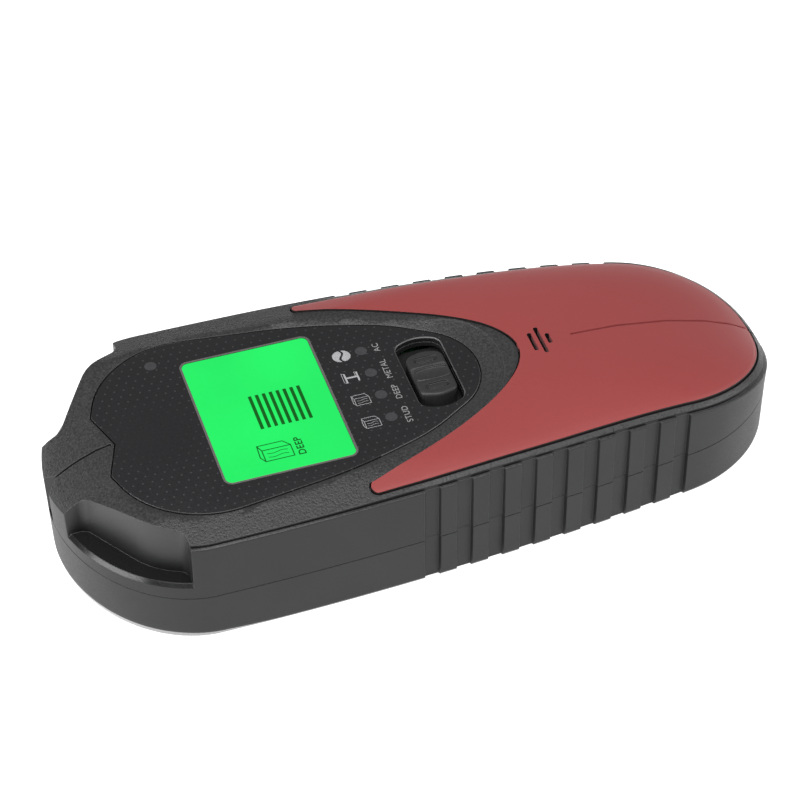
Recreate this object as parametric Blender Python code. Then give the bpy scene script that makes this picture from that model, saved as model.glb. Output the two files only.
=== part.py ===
"""Multi-mode stud finder: two moulded shells, a red grip cover and everything they hold.

Frame: +X to the right, +Y towards the pointed tip, +Z up, the sensing face on z = 0.
All sizes below are in millimetres; MM turns them into metres as the meshes are made.
"""
import math

import bmesh
import bpy
from mathutils import Vector

MM = 0.001
GAP = 0.3                      # clearance between neighbouring pieces

# ---- plan outline of the body ----
TIP_Y = 82.6
TAIL_Y = -82.5
HALF_WIDTH = 34.4
TAPER_START = 52.0             # in front of this the sides run straight
TAPER_RATE = 0.00066           # quadratic narrowing towards the tail
NOSE_CAP_START = 54.0
NOSE_CAP_POWER = (1.9, 1.9)
TAIL_CAP_START = -56.0
TAIL_CAP_POWER = (2.2, 2.2)
DRAFT_BOTTOM = 0.5             # inset of the side wall at the bottom edge
DRAFT_PARTING = 0.25

# ---- heights ----
FLOOR_T = 2.0
BOTTOM_CHAMFER = 0.8
CHAMFER_GROWTH = 1.5           # the chamfer is this much taller under the nose
PARTING_Z = 12.5
LIP_TOP = 14.0
PANEL_TOP = 29.5
PANEL_T = 1.1
BEZEL_RISE = 0.35              # the bezel stands this far above the panel
BEZEL_FALL = 0.28              # slope of the bezel towards the side walls
DISH_FRONT = 1.4               # width of the ramp down to the panel, along its sides
DISH_TAIL = 5.0                # and at its round end
DISH_STEP = 0.28               # small step at the outer edge of the round end
EDGE_Z = 27.5                  # top edge of the side wall
BAND_INSET = 0.86              # ledge between the wall and the band round the top
BAND_ROLL = 0.09               # rounding of the band beside the red cover
BAND_ROLL_WIDTH = 3.2
TAIL_Z = 16.0                  # height where the top meets the tail
CROWN_TOP = 30.9               # shell crown under the red cover
CROWN_START = -30.0            # the crown droops behind this
SKIN_T = 3.2
NOSE_DROP_START = 68.0

# ---- grip ribs ----
RIB_COUNT = 9
RIB_PITCH = 7.4
RIB_START = 4.6                # tail-side flank of the first recess
RIB_GAP = 3.0
RIB_FLANK = 0.4
RIB_FLOOR_LOW = 1.6            # inset of a recess floor at the bottom edge
RIB_FLOOR_HIGH = 0.82          # and from RIB_FLOOR_Z up
RIB_FLOOR_Z = 24.0

# ---- front scoops and nose ----
SCOOP_X = 10.6
SCOOP_FLOOR = 16.6
SCOOP_RIM = 15.6
SCOOP_END_Y = 59.1
NOTCH_HALF = 2.5
NOTCH_APEX_Y = 80.0

# ---- display window, panel, slide slot ----
LCD_HALF_X = 19.4
LCD_Y = (18.5, 47.2)
LED_X = (-11.0, -3.67, 3.67, 11.0)
LED_Y = 8.3
WARN_LED = (21.1, 53.5)
SLOT_HALF_X = 11.2
SLOT_CORNER_X = 9.7
SLOT_Y = (-9.2, 1.2)
KNOB_X = -1.2
KNOB_LENGTH = 13.4
KNOB_WIDTH = 8.5
KNOB_Y = -4.35
KNOB_TOP = 30.4

# ---- red cover ----
RED_RAISE = 0.4
RED_T = 1.5
RED_INSET = 2.5
RED_APEX_Y = -24.0
HORN_CENTRE = (29.6, 17.2)      # rounding at each end of the cover's curved front edge
HORN_RADIUS = 1.5
SOUND_SLOTS = ((-27.9, 2.9), (-29.8, 4.2), (-31.6, 1.6))
SOUND_SLOT_W = 1.0
GROOVE_START = -36.7

# ---- inside ----
PCB_Z = (19.5, 21.1)
PCB_Y = (-8.0, 58.0)
PCB_HALF_X = 22.5
CASE_SCREWS = ((26.6, 39.0), (-26.6, 39.0), (14.0, -65.2), (-14.0, -65.2))
PCB_SCREWS = ((-17.0, 54.2), (12.0, 54.2), (18.5, -4.0), (-18.5, -4.0))
BATTERY = (26.5, 46.4, 17.5)
BATTERY_Y0 = -60.0
BATTERY_Z0 = 2.5
DOOR_HALF_X = 14.3
DOOR_Y = (-61.0, -11.6)
BUTTON_Y = 30.0
BUTTON_Z = 21.5
BUTTON_SIZE = (13.0, 6.0)
BUTTON_PROUD = 0.4


# =============================== helpers ===============================

def smoothstep(t):
    t = max(0.0, min(1.0, t))
    return t * t * (3.0 - 2.0 * t)


def material(name, colour, roughness=0.5, metallic=0.0):
    """One Principled material; colour is linear RGB."""
    mat = bpy.data.materials.get(name)
    if mat is None:
        mat = bpy.data.materials.new(name)
        mat.use_nodes = True
        shader = mat.node_tree.nodes["Principled BSDF"]
        shader.inputs["Base Color"].default_value = (*colour, 1.0)
        shader.inputs["Roughness"].default_value = roughness
        shader.inputs["Metallic"].default_value = metallic
        mat.diffuse_color = (*colour, 1.0)
    return mat


def make_object(name, bm, mat=None, smooth_angle=30.0):
    """Turn a bmesh in millimetres into a scene object in metres."""
    bmesh.ops.scale(bm, vec=(MM, MM, MM), verts=bm.verts)
    bmesh.ops.recalc_face_normals(bm, faces=bm.faces)
    mesh = bpy.data.meshes.new(name)
    bm.to_mesh(mesh)
    bm.free()
    mesh.shade_smooth()
    mesh.set_sharp_from_angle(angle=math.radians(smooth_angle))
    obj = bpy.data.objects.new(name, mesh)
    bpy.context.collection.objects.link(obj)
    if mat:
        mesh.materials.append(mat)
    return obj


def ring_stack(name, rings, mat=None):
    """Closed body through rings of equal point count; the end rings are capped."""
    bm = bmesh.new()
    loops = [[bm.verts.new(p) for p in ring] for ring in rings]
    count = len(rings[0])
    for low, high in zip(loops, loops[1:]):
        for i in range(count):
            j = (i + 1) % count
            bm.faces.new((low[i], low[j], high[j], high[i]))
    bm.faces.new(list(reversed(loops[0])))
    bm.faces.new(loops[-1])
    return make_object(name, bm, mat)


def prism(name, outline, z0, z1, mat=None):
    """Straight extrusion of an (x, y) outline from z0 to z1."""
    return ring_stack(name, [[(x, y, z) for x, y in outline] for z in (z0, z1)], mat)


def bevelled_prism(name, outline, z0, z1, chamfer, mat=None):
    """Extrusion whose top rim is chamfered."""
    inner = offset_outline(outline, -chamfer)
    rings = [
        [(x, y, z0) for x, y in outline],
        [(x, y, z1 - chamfer) for x, y in outline],
        [(x, y, z1) for x, y in inner],
    ]
    return ring_stack(name, rings, mat)


def box(name, x, y, z, mat=None):
    """Block between the given (low, high) pairs."""
    outline = [(x[0], y[0]), (x[1], y[0]), (x[1], y[1]), (x[0], y[1])]
    return prism(name, outline, z[0], z[1], mat)


def circle(cx, cy, radius, count=24):
    step = 2.0 * math.pi / count
    return [(cx + radius * math.cos(i * step), cy + radius * math.sin(i * step)) for i in range(count)]


def cylinder(name, cx, cy, radius, z0, z1, mat=None, count=24):
    return prism(name, circle(cx, cy, radius, count), z0, z1, mat)


def cylinder_along(name, axis, centre, radius, start, end, mat=None, count=24):
    """Cylinder whose axis runs along X or Y; centre holds the other two coordinates."""
    rings = []
    for along in (start, end):
        ring = []
        for a, b in circle(centre[0], centre[1], radius, count):
            ring.append((along, a, b) if axis == "X" else (a, along, b))
        rings.append(ring)
    return ring_stack(name, rings, mat)


def rounded_polygon(corners, steps=6):
    """Outline from (x, y, radius) corners, each rounded with an arc."""
    points = []
    count = len(corners)
    for i, (x, y, radius) in enumerate(corners):
        here = Vector((x, y))
        if radius <= 0.0:
            points.append((x, y))
            continue
        before = (Vector(corners[i - 1][:2]) - here).normalized()
        after = (Vector(corners[(i + 1) % count][:2]) - here).normalized()
        half = before.angle(after) / 2.0
        reach = radius / math.tan(half)
        centre = here + (before + after).normalized() * (radius / math.sin(half))
        start = here + before * reach - centre
        sweep = (here + after * reach - centre).angle_signed(start)
        base = math.atan2(start.y, start.x)
        for k in range(steps + 1):
            angle = base + sweep * k / steps
            points.append((centre.x + radius * math.cos(angle), centre.y + radius * math.sin(angle)))
    return points


def rounded_rectangle(x0, x1, y0, y1, radius, steps=5):
    return rounded_polygon([(x0, y0, radius), (x1, y0, radius), (x1, y1, radius), (x0, y1, radius)], steps)


def offset_outline(outline, distance):
    """Move a counter-clockwise outline outwards by distance."""
    result = []
    count = len(outline)
    for i in range(count):
        before = Vector(outline[i - 1])
        here = Vector(outline[i])
        after = Vector(outline[(i + 1) % count])
        first = (here - before).normalized()
        second = (after - here).normalized()
        n1 = Vector((first.y, -first.x))
        n2 = Vector((second.y, -second.x))
        bisector = (n1 + n2).normalized()
        shift = distance / max(0.3, bisector.dot(n1))
        result.append((here.x + bisector.x * shift, here.y + bisector.y * shift))
    return result


def boolean(target, tools, operation="DIFFERENCE"):
    """Apply one Boolean per tool to the target and remove the tools."""
    for tool in tools:
        modifier = target.modifiers.new("cut", "BOOLEAN")
        modifier.operation = operation
        modifier.solver = "EXACT"
        modifier.object = tool
        bpy.context.view_layer.update()
        graph = bpy.context.evaluated_depsgraph_get()
        mesh = bpy.data.meshes.new_from_object(target.evaluated_get(graph))
        target.modifiers.clear()
        old = target.data
        target.data = mesh
        bpy.data.meshes.remove(old)
        bpy.data.objects.remove(tool)
    target.data.shade_smooth()
    target.data.set_sharp_from_angle(angle=math.radians(30.0))


def set_origin(obj, origin):
    """Place the object's origin (mm) on its joint axis, leaving its mesh where it is."""
    shift = Vector(origin) * MM
    for vertex in obj.data.vertices:
        vertex.co -= shift
    obj.location = shift


def tube(name, route, radius, mat, sides=8, per_leg=5):
    """Round lead along a smooth curve through the route's points."""
    points = []
    ends = [2 * Vector(route[0]) - Vector(route[1])]
    path = ends + [Vector(p) for p in route] + [2 * Vector(route[-1]) - Vector(route[-2])]
    for i in range(1, len(path) - 2):
        p0, p1, p2, p3 = path[i - 1:i + 3]
        for k in range(per_leg):
            t = k / per_leg
            points.append(0.5 * ((2 * p1) + (p2 - p0) * t + (2 * p0 - 5 * p1 + 4 * p2 - p3) * t * t
                                 + (3 * p1 - p0 - 3 * p2 + p3) * t ** 3))
    points.append(path[-2])
    rings = []
    side = Vector((1.0, 0.0, 0.0))
    for i, point in enumerate(points):
        ahead = points[min(i + 1, len(points) - 1)]
        behind = points[max(i - 1, 0)]
        tangent = (ahead - behind).normalized()
        side = (side - tangent * side.dot(tangent)).normalized()
        other = tangent.cross(side)
        ring = []
        for k in range(sides):
            angle = 2.0 * math.pi * k / sides
            ring.append(point + side * (radius * math.cos(angle)) + other * (radius * math.sin(angle)))
        rings.append(ring)
    return ring_stack(name, rings, mat)


# =========================== body outline and crown ===========================

def half_width(y):
    """Half the body's plan width at y."""
    width = HALF_WIDTH
    if y < TAPER_START:
        width -= TAPER_RATE * (TAPER_START - y) ** 2
    if y > NOSE_CAP_START:
        t = min(1.0, (y - NOSE_CAP_START) / (TIP_Y - NOSE_CAP_START))
        width *= (1.0 - t ** NOSE_CAP_POWER[0]) ** (1.0 / NOSE_CAP_POWER[1])
    if y < TAIL_CAP_START:
        t = min(1.0, (TAIL_CAP_START - y) / (TAIL_CAP_START - TAIL_Y))
        width *= (1.0 - t ** TAIL_CAP_POWER[0]) ** (1.0 / TAIL_CAP_POWER[1])
    return width


def side_stations(cap_steps):
    """Values of y down one side, from the tip to just before the tail."""
    stations = []
    for k in range(cap_steps):
        angle = math.radians(90.0) * k / cap_steps
        stations.append(NOSE_CAP_START + (TIP_Y - NOSE_CAP_START) * math.cos(angle))
    stations += [54.0 - 11.0 * k for k in range(10)]
    for k in range(cap_steps):
        angle = math.radians(90.0) * k / cap_steps
        stations.append(TAIL_CAP_START - (TAIL_CAP_START - TAIL_Y) * math.sin(angle))
    return stations


def outline(inset=0.0, cap_steps=12, hollow_nose=0.0):
    """Counter-clockwise body outline moved inwards; hollow_nose adds inset behind the scoops."""
    right = []
    for y in side_stations(cap_steps):
        above = min(y + 0.05, TIP_Y)
        below = max(y - 0.05, TAIL_Y)
        normal = Vector((above - below, half_width(below) - half_width(above))).normalized()
        if y >= TIP_Y:
            normal = Vector((0.0, 1.0))
        depth = inset + hollow_nose * smoothstep((y - 48.0) / 12.0)
        right.append((half_width(y) - normal.x * depth, y - normal.y * depth))
    left = [(-x, y) for x, y in right[1:]]
    tail = [(0.0, TAIL_Y + inset)]
    return left + tail + right[::-1]


def rib_cutter():
    """Tapered flutes between the grip ribs, both sides, leaning with the wall's draft."""
    bm = bmesh.new()
    for side in (-1, 1):
        for k in range(RIB_COUNT):
            low_y = RIB_START - RIB_PITCH * k
            high_y = low_y + RIB_GAP
            rings = []
            for z, wall, floor in ((-1.0, DRAFT_BOTTOM + 0.02, RIB_FLOOR_LOW),
                                   (RIB_FLOOR_Z, 0.02, RIB_FLOOR_HIGH), (34.0, -0.1, RIB_FLOOR_HIGH)):
                plan = [
                    (45.0, low_y - RIB_FLANK), (45.0, high_y + RIB_FLANK),
                    (half_width(high_y) - wall + 0.05, high_y + RIB_FLANK),
                    (half_width(high_y) - floor, high_y),
                    (half_width(low_y) - floor, low_y),
                    (half_width(low_y) - wall + 0.05, low_y - RIB_FLANK),
                ]
                rings.append([bm.verts.new((side * x, y, z)) for x, y in plan])
            count = len(rings[0])
            for low, high in zip(rings, rings[1:]):
                for i in range(count):
                    j = (i + 1) % count
                    bm.faces.new((low[i], low[j], high[j], high[i]))
            bm.faces.new(rings[0])
            bm.faces.new(rings[-1])
    return make_object("rib_cutter", bm)


def edge_height(y):
    """Height of the side wall's top edge."""
    if y >= 0.0:
        return EDGE_Z
    t = min(1.0, y / TAIL_Y)
    return TAIL_Z + (EDGE_Z - TAIL_Z) * (1.0 - t ** 3) ** (2.0 / 3.0)


def front_surface(x, y):
    """Flat bezel that falls away to the sides and to the tip."""
    rise = BEZEL_RISE * smoothstep((74.0 - y) / 8.0)
    past = max(0.0, y - NOSE_DROP_START)
    return PANEL_TOP + rise - BEZEL_FALL * max(0.0, abs(x) - 25.5) - 0.203 * past - 0.022 * past * past


def rim_height(x, y):
    """Top of the side wall where the ledge starts."""
    return min(edge_height(y), front_surface(x, y))


def crown(x, y):
    """Top surface of the upper shell before anything is cut into it."""
    front = front_surface(x, y)
    t = min(1.0, max(0.0, (CROWN_START - y) / (CROWN_START - TAIL_Y)))
    spine = TAIL_Z + (CROWN_TOP - TAIL_Z) * (1.0 - t ** 2.2) ** (2.0 / 3.0)
    edge = edge_height(y)
    half = half_width(max(y, TAIL_Y))
    u = min(1.0, abs(x) / max(0.01, half))
    back = edge + (spine - edge) * (1.0 - u ** 4)
    roll = max(0.0, abs(x) - half + BAND_ROLL_WIDTH)
    roll *= smoothstep((y + 78.0) / 10.0) * smoothstep((12.0 - y) / 5.0)
    blend = smoothstep((5.0 - y) / 30.0)
    return front + (back - front) * blend - BAND_ROLL * roll * roll


def crown_rings(base, scales, lift):
    """Rings shrinking towards the middle of the base outline, lying on the crown."""
    rings = []
    for scale in scales:
        ring = []
        for x, y in base:
            px = x * scale
            py = y * scale
            ring.append((px, py, crown(px, py) + lift))
        rings.append(ring)
    return rings


# =============================== outlines on top ===============================

def panel_outline():
    """Pick-shaped front panel: blunt notched end at the nose, round point at the tail."""
    right = [
        (0.0, 66.6, 0.0), (9.2, 69.75, 1.2), (29.2, 63.2, 21.5),
        (23.4, 19.4, 120.0), (17.7, 1.1, 40.0), (7.9, -14.9, 13.9),
    ]
    left = [(-x, y, r) for x, y, r in reversed(right[1:])]
    return rounded_polygon(list(reversed(right + left)), 8)


def dish_cutter():
    """Everything above the ramp that runs from the bezel down to the panel's edge."""
    low = offset_outline(panel_outline(), GAP)
    crease = []
    step = []
    for (x, y), (far_x, far_y) in zip(low, offset_outline(low, 1.0)):
        tail = smoothstep((-2.0 - y) / 13.0)
        width = DISH_FRONT + (DISH_TAIL - DISH_FRONT) * tail
        crease.append((x + (far_x - x) * width, y + (far_y - y) * width))
        step.append(0.08 - DISH_STEP * tail)
    rings = [
        [(x, y, PANEL_TOP - 0.15) for x, y in low],
        [(x, y, crown(x, y) + lift) for (x, y), lift in zip(crease, step)],
        [(x, y, 45.0) for x, y in crease],
    ]
    return ring_stack("dish", rings)


def slot_outline():
    """Slide slot: straight long sides and bowed short ends."""
    y0, y1 = SLOT_Y
    mid = (y0 + y1) / 2.0
    bow = SLOT_HALF_X + 0.6
    corners = [
        (-SLOT_CORNER_X, y0, 2.6), (SLOT_CORNER_X, y0, 2.6), (bow, mid, 8.0),
        (SLOT_CORNER_X, y1, 2.6), (-SLOT_CORNER_X, y1, 2.6), (-bow, mid, 8.0),
    ]
    return rounded_polygon(corners, 4)


def red_front(shift=0.0):
    """Region in front of the red cover: its curved front edge with a rounded horn each side."""
    cx, cy = HORN_CENTRE
    radius = HORN_RADIUS + GAP + shift
    right = []
    for k in range(13):
        x = 28.3 * k / 12
        right.append((x, RED_APEX_Y + shift + 0.062 * x ** 1.95))
    for k in range(1, 6):
        angle = math.radians(160.0 - 32.0 * k)
        right.append((cx + radius * math.cos(angle), cy + radius * math.sin(angle)))
    right.append((50.0, cy))
    right.append((50.0, 120.0))
    left = [(-x, y) for x, y in reversed(right[1:])]
    return left + right


def scoop_outline(side):
    """Plan of the pocket cut into one front corner."""
    corners = [
        (SCOOP_X, 95.0, 0.0), (SCOOP_X, 76.6, 2.5), (25.8, 66.4, 16.0),
        (29.4, SCOOP_END_Y, 3.0), (50.0, SCOOP_END_Y, 0.0), (50.0, 95.0, 0.0),
    ]
    points = rounded_polygon(corners, 5)
    if side < 0:
        points = [(-x, y) for x, y in reversed(points)]
    return points


def scoop_cutter(side):
    """Pocket with a flat floor whose outer rim slopes down to the wall."""
    rim = SCOOP_FLOOR - SCOOP_RIM
    block = prism("scoop", scoop_outline(side), SCOOP_RIM - rim + 0.2, 45.0)
    floor = [[(x, y, SCOOP_RIM - rim) for x, y in outline(-rim, 17)],
             [(x, y, SCOOP_FLOOR) for x, y in outline(rim, 17)]]
    boolean(block, [ring_stack("scoop_floor", floor)])
    return block


# =============================== housing ===============================

def chamfer_height(y):
    """Height of the chamfer round the bottom edge."""
    return BOTTOM_CHAMFER + CHAMFER_GROWTH * smoothstep((y - 40.0) / 25.0)


def build_lower_shell():
    face = PARTING_Z - GAP / 2
    rings = [[(x, y, 0.0) for x, y in outline(DRAFT_BOTTOM + BOTTOM_CHAMFER)]]
    rings.append([(x, y, chamfer_height(y)) for x, y in outline(DRAFT_BOTTOM)])
    rings.append([(x, y, face) for x, y in outline(DRAFT_PARTING)])
    shell = ring_stack("lower_shell", rings, DARK_LOWER)

    # the lip that locates the upper shell, then the hollow inside it
    boolean(shell, [prism("lip", outline(3.0, hollow_nose=7.2), 8.0, LIP_TOP)], "UNION")
    hollow = []
    for inset, z, nose in ((2.6, FLOOR_T, 0.0), (2.6, 9.6, 0.0), (4.2, 10.6, 7.2), (4.2, LIP_TOP + 1.0, 7.2)):
        hollow.append([(x, y, z) for x, y in outline(inset, hollow_nose=nose)])
    boolean(shell, [ring_stack("hollow", hollow), rib_cutter()])

    bosses = []
    holes = []
    for x, y in CASE_SCREWS:
        bosses.append(cylinder("boss", x, y, 3.6, 1.0, face))
        holes.append(cylinder("bore", x, y, 1.7, -1.0, 15.0, count=16))
        holes.append(cylinder("counterbore", x, y, 2.9, -1.0, 3.0, count=20))
    for side in (-1, 1):
        wall = sorted((side * 15.3, side * 16.5))
        bosses.append(box("cradle", wall, (-58.0, -15.0), (1.0, 9.0)))
        for y in (-2.0, 60.0):
            bosses.append(cylinder("board_post", side * 17.0, y, 1.6, 1.0, 2.75, count=12))
    boolean(shell, bosses, "UNION")
    opening = box("door_opening", (-DOOR_HALF_X - GAP, DOOR_HALF_X + GAP),
                  (DOOR_Y[0] - GAP, DOOR_Y[1] + GAP), (-1.0, FLOOR_T + 1.0))
    boolean(shell, holes + [opening])
    return shell


def build_upper_shell():
    face = PARTING_Z + GAP / 2
    outer = [[(x, y, face) for x, y in outline(DRAFT_PARTING)]]
    for inset, drop in ((0.0, 0.38), (0.2, 0.2), (BAND_INSET, 0.12)):
        outer.append([(x, y, rim_height(x, y) - drop) for x, y in outline(inset)])
    outer += crown_rings(outline(BAND_INSET + 0.04), (1.0, 0.98, 0.95, 0.9, 0.8, 0.6, 0.3, 0.04), 0.0)
    hollow = outline(2.7, hollow_nose=7.2)
    inner = crown_rings(hollow, (0.04, 0.35, 0.8, 0.93, 1.0), -SKIN_T)
    inner[-1] = [(x, y, max(z, face + 0.6)) for x, y, z in inner[-1]]
    inner.append([(x, y, face) for x, y in hollow])
    shell = ring_stack("upper_shell", inner + outer, DARK_UPPER)

    bosses = []
    for x, y in CASE_SCREWS:
        bosses.append(cylinder("boss", x, y, 3.0, face, crown(x, y) - 1.9, count=20))
    for x, y in PCB_SCREWS:
        bosses.append(cylinder("boss", x, y, 2.4, PCB_Z[1] + GAP, PANEL_TOP - 2.2, count=16))
    boolean(shell, bosses, "UNION")

    cuts = [rib_cutter()]
    cuts.append(top_groove("nose_groove", 67.5, 81.0, 0.0, 5))
    cuts.append(top_groove("tail_groove", -83.5, -76.0, 0.0, 6))
    cuts.append(dish_cutter())
    cuts.append(prism("panel_seat", offset_outline(panel_outline(), GAP), PANEL_TOP - PANEL_T - GAP, 40.0))
    cuts.append(red_seat_cutter())
    for side in (-1, 1):
        cuts.append(scoop_cutter(side))
    notch = [(0.0, NOTCH_APEX_Y), (NOTCH_HALF + 1.0, TIP_Y + 1.0), (-NOTCH_HALF - 1.0, TIP_Y + 1.0)]
    cuts.append(prism("tip_notch", notch, 5.0, 40.0))
    cuts.append(box("lcd_opening", (-21.0, 21.0), (17.0, 48.7), (20.0, 40.0)))
    cuts.append(prism("slide_opening", slot_outline(), 20.0, 40.0))
    for x in LED_X:
        cuts.append(cylinder("led_hole", x, LED_Y, 2.2, 20.0, 40.0, count=16))
    cuts.append(cylinder("led_hole", *WARN_LED, 2.2, 20.0, 40.0, count=16))
    for y, half in SOUND_SLOTS:
        across = (y - SOUND_SLOT_W / 2, y + SOUND_SLOT_W / 2)
        cuts.append(box("sound_slot", (-half, half), across, (20.0, 40.0)))
    for x, y in CASE_SCREWS:
        cuts.append(cylinder("pilot", x, y, 1.7, 5.0, crown(x, y) - 4.6, count=12))
    for x, y in PCB_SCREWS:
        cuts.append(cylinder("pilot", x, y, 1.3, 15.0, 26.6, count=12))
    cuts.append(button_prism("button_hole", GAP, 25.0, 40.0))
    boolean(shell, cuts)
    return shell


def red_blank(name, inset, bottom, top):
    """Crowned slab over the whole body, between two offsets from the crown."""
    base = outline(inset)
    scales = (0.04, 0.3, 0.6, 0.8, 0.92, 1.0)
    rings = crown_rings(base, scales, bottom)
    if top is None:
        rings.append([(x, y, 45.0) for x, y in base])
    else:
        rings += crown_rings(base, tuple(reversed(scales)), top)
    return ring_stack(name, rings, RED)


def red_seat_cutter():
    seat = red_blank("red_seat", RED_INSET - GAP, RED_RAISE - RED_T - GAP, None)
    boolean(seat, [prism("front", red_front(), 0.0, 60.0)])
    return seat


def top_groove(name, y0, y1, lift, steps):
    """Shallow V cut along the centre line, following the crown."""
    rings = []
    for k in range(steps + 1):
        y = y0 + (y1 - y0) * k / steps
        z = crown(0.0, max(TAIL_Y, min(TIP_Y, y))) + lift
        rings.append([(-0.8, y, z + 0.5), (-0.12, y, z - 0.4), (0.13, y, z - 0.4), (0.8, y, z + 0.5)])
    return ring_stack(name, rings)


def build_red_cover():
    cover = red_blank("red_cover", RED_INSET, RED_RAISE - RED_T, RED_RAISE)
    cuts = [prism("front", red_front(-GAP), 0.0, 60.0)]
    for y, half in SOUND_SLOTS:
        w = SOUND_SLOT_W / 2
        cuts.append(prism("sound_slot", rounded_rectangle(-half, half, y - w, y + w, 0.45, 3), 10.0, 40.0))
    cuts.append(top_groove("groove", -82.0, GROOVE_START, RED_RAISE, 16))
    boolean(cover, cuts)
    return cover


def build_front_panel():
    panel = bevelled_prism("front_panel", panel_outline(), PANEL_TOP - PANEL_T, PANEL_TOP, 0.2, PANEL_BLACK)
    window = rounded_rectangle(-LCD_HALF_X - GAP, LCD_HALF_X + GAP, LCD_Y[0] - GAP, LCD_Y[1] + GAP, 1.8)
    boolean(panel, [prism("window", window, 20.0, 40.0), prism("slot", slot_outline(), 20.0, 40.0)])
    return panel


# =============================== display ===============================

def build_display():
    y0, y1 = LCD_Y
    x = LCD_HALF_X
    low = PCB_Z[1] + GAP
    window = rounded_rectangle(-x, x, y0, y1, 1.5)
    bevelled_prism("lcd_window", window, PANEL_TOP - PANEL_T, PANEL_TOP, 0.15, CLEAR)
    frame = box("lcd_frame", (-20.6, 20.6), (17.3, 48.4), (low, 28.1), BLACK_PLASTIC)
    boolean(frame, [box("well", (-19.4, 19.4), (18.5, 47.2), (low + 0.8, 30.0)),
                    box("tail_slot", (-17.0, 17.0), (19.0, 21.2), (low - 1.0, low + 2.0)),
                    box("tip_slot", (-17.0, 17.0), (44.6, 46.8), (low - 1.0, low + 2.0))])
    box("lcd_glass", (-19.1, 19.1), (18.8, 46.9), (26.2, 28.0), LCD_GREEN)
    box("lcd_backlight", (-19.1, 19.1), (21.6, 44.2), (low + 1.1, 25.9), LIGHT_GUIDE)
    box("lcd_elastomer_tail", (-16.5, 16.5), (19.3, 20.9), (low, 25.9), SILICONE)
    box("lcd_elastomer_tip", (-16.5, 16.5), (44.9, 46.5), (low, 25.9), SILICONE)


# =============================== mode slide ===============================

def build_mode_slide():
    half_x = KNOB_LENGTH / 2
    half_y = KNOB_WIDTH / 2
    x0, x1 = KNOB_X - half_x, KNOB_X + half_x
    y0, y1 = KNOB_Y - half_y, KNOB_Y + half_y
    corners = [(x0 + 0.9, y0, 2.0), (x1 - 0.9, y0, 2.0), (x1 + 0.5, KNOB_Y, 6.0),
               (x1 - 0.9, y1, 2.0), (x0 + 0.9, y1, 2.0), (x0 - 0.5, KNOB_Y, 6.0)]
    plan = rounded_polygon(corners, 4)
    knob = bevelled_prism("mode_slide_knob", plan, 24.9, KNOB_TOP, 0.4, KNOB_GREY)
    skirt = box("skirt", (KNOB_X - 12.4, KNOB_X + 12.6), (SLOT_Y[0] - 1.2, SLOT_Y[1] + 1.2), (24.4, 25.8))
    boolean(knob, [skirt], "UNION")
    saddle = []
    for y in (y0 - 2.0, y1 + 2.0):
        saddle.append([(KNOB_X + a, y, b) for a, b in circle(0.0, KNOB_TOP + 4.6, 5.1, 48)])
    cuts = [ring_stack("saddle", saddle)]
    for side in (-1, 1):
        cx = KNOB_X + side * 4.5
        well = rounded_rectangle(cx - 0.75, cx + 0.75, KNOB_Y - 2.5, KNOB_Y + 2.5, 0.7, 3)
        cuts.append(prism("well", well, KNOB_TOP - 0.45, KNOB_TOP + 3.0))
    cuts.append(box("stem_socket", (KNOB_X - 1.3, KNOB_X + 1.3), (KNOB_Y - 1.3, KNOB_Y + 1.3), (20.0, 26.4)))
    boolean(knob, cuts)
    set_origin(knob, (KNOB_X, KNOB_Y, 26.0))

    low = PCB_Z[1] + GAP
    housing = box("slide_switch_housing", (-9.0, 9.0), (KNOB_Y - 3.0, KNOB_Y + 3.0), (low, 24.1), STEEL)
    boolean(housing, [box("well", (-8.2, 8.2), (KNOB_Y - 2.2, KNOB_Y + 2.2), (low + 0.6, 23.5)),
                      box("slot", (-7.6, 7.6), (KNOB_Y - 1.3, KNOB_Y + 1.3), (23.0, 25.0))])
    carriage = box("slide_switch_carriage", (KNOB_X - 2.2, KNOB_X + 2.2), (KNOB_Y - 1.9, KNOB_Y + 1.9),
                   (low + 0.9, 23.2), BRASS)
    stem = box("stem", (KNOB_X - 1.0, KNOB_X + 1.0), (KNOB_Y - 1.0, KNOB_Y + 1.0), (22.5, 26.0))
    boolean(carriage, [stem], "UNION")
    set_origin(carriage, (KNOB_X, KNOB_Y, 22.6))


# =============================== power button ===============================

def button_prism(name, grow, x0, x1, mat=None):
    """Stadium-shaped plug along X on the right side."""
    half_y = BUTTON_SIZE[0] / 2 + grow
    half_z = BUTTON_SIZE[1] / 2 + grow
    plan = rounded_rectangle(-half_y, half_y, -half_z, half_z, half_z - 0.02, 6)
    rings = [[(x, BUTTON_Y + a, BUTTON_Z + b) for a, b in plan] for x in (x0, x1)]
    return ring_stack(name, rings, mat)


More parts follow.
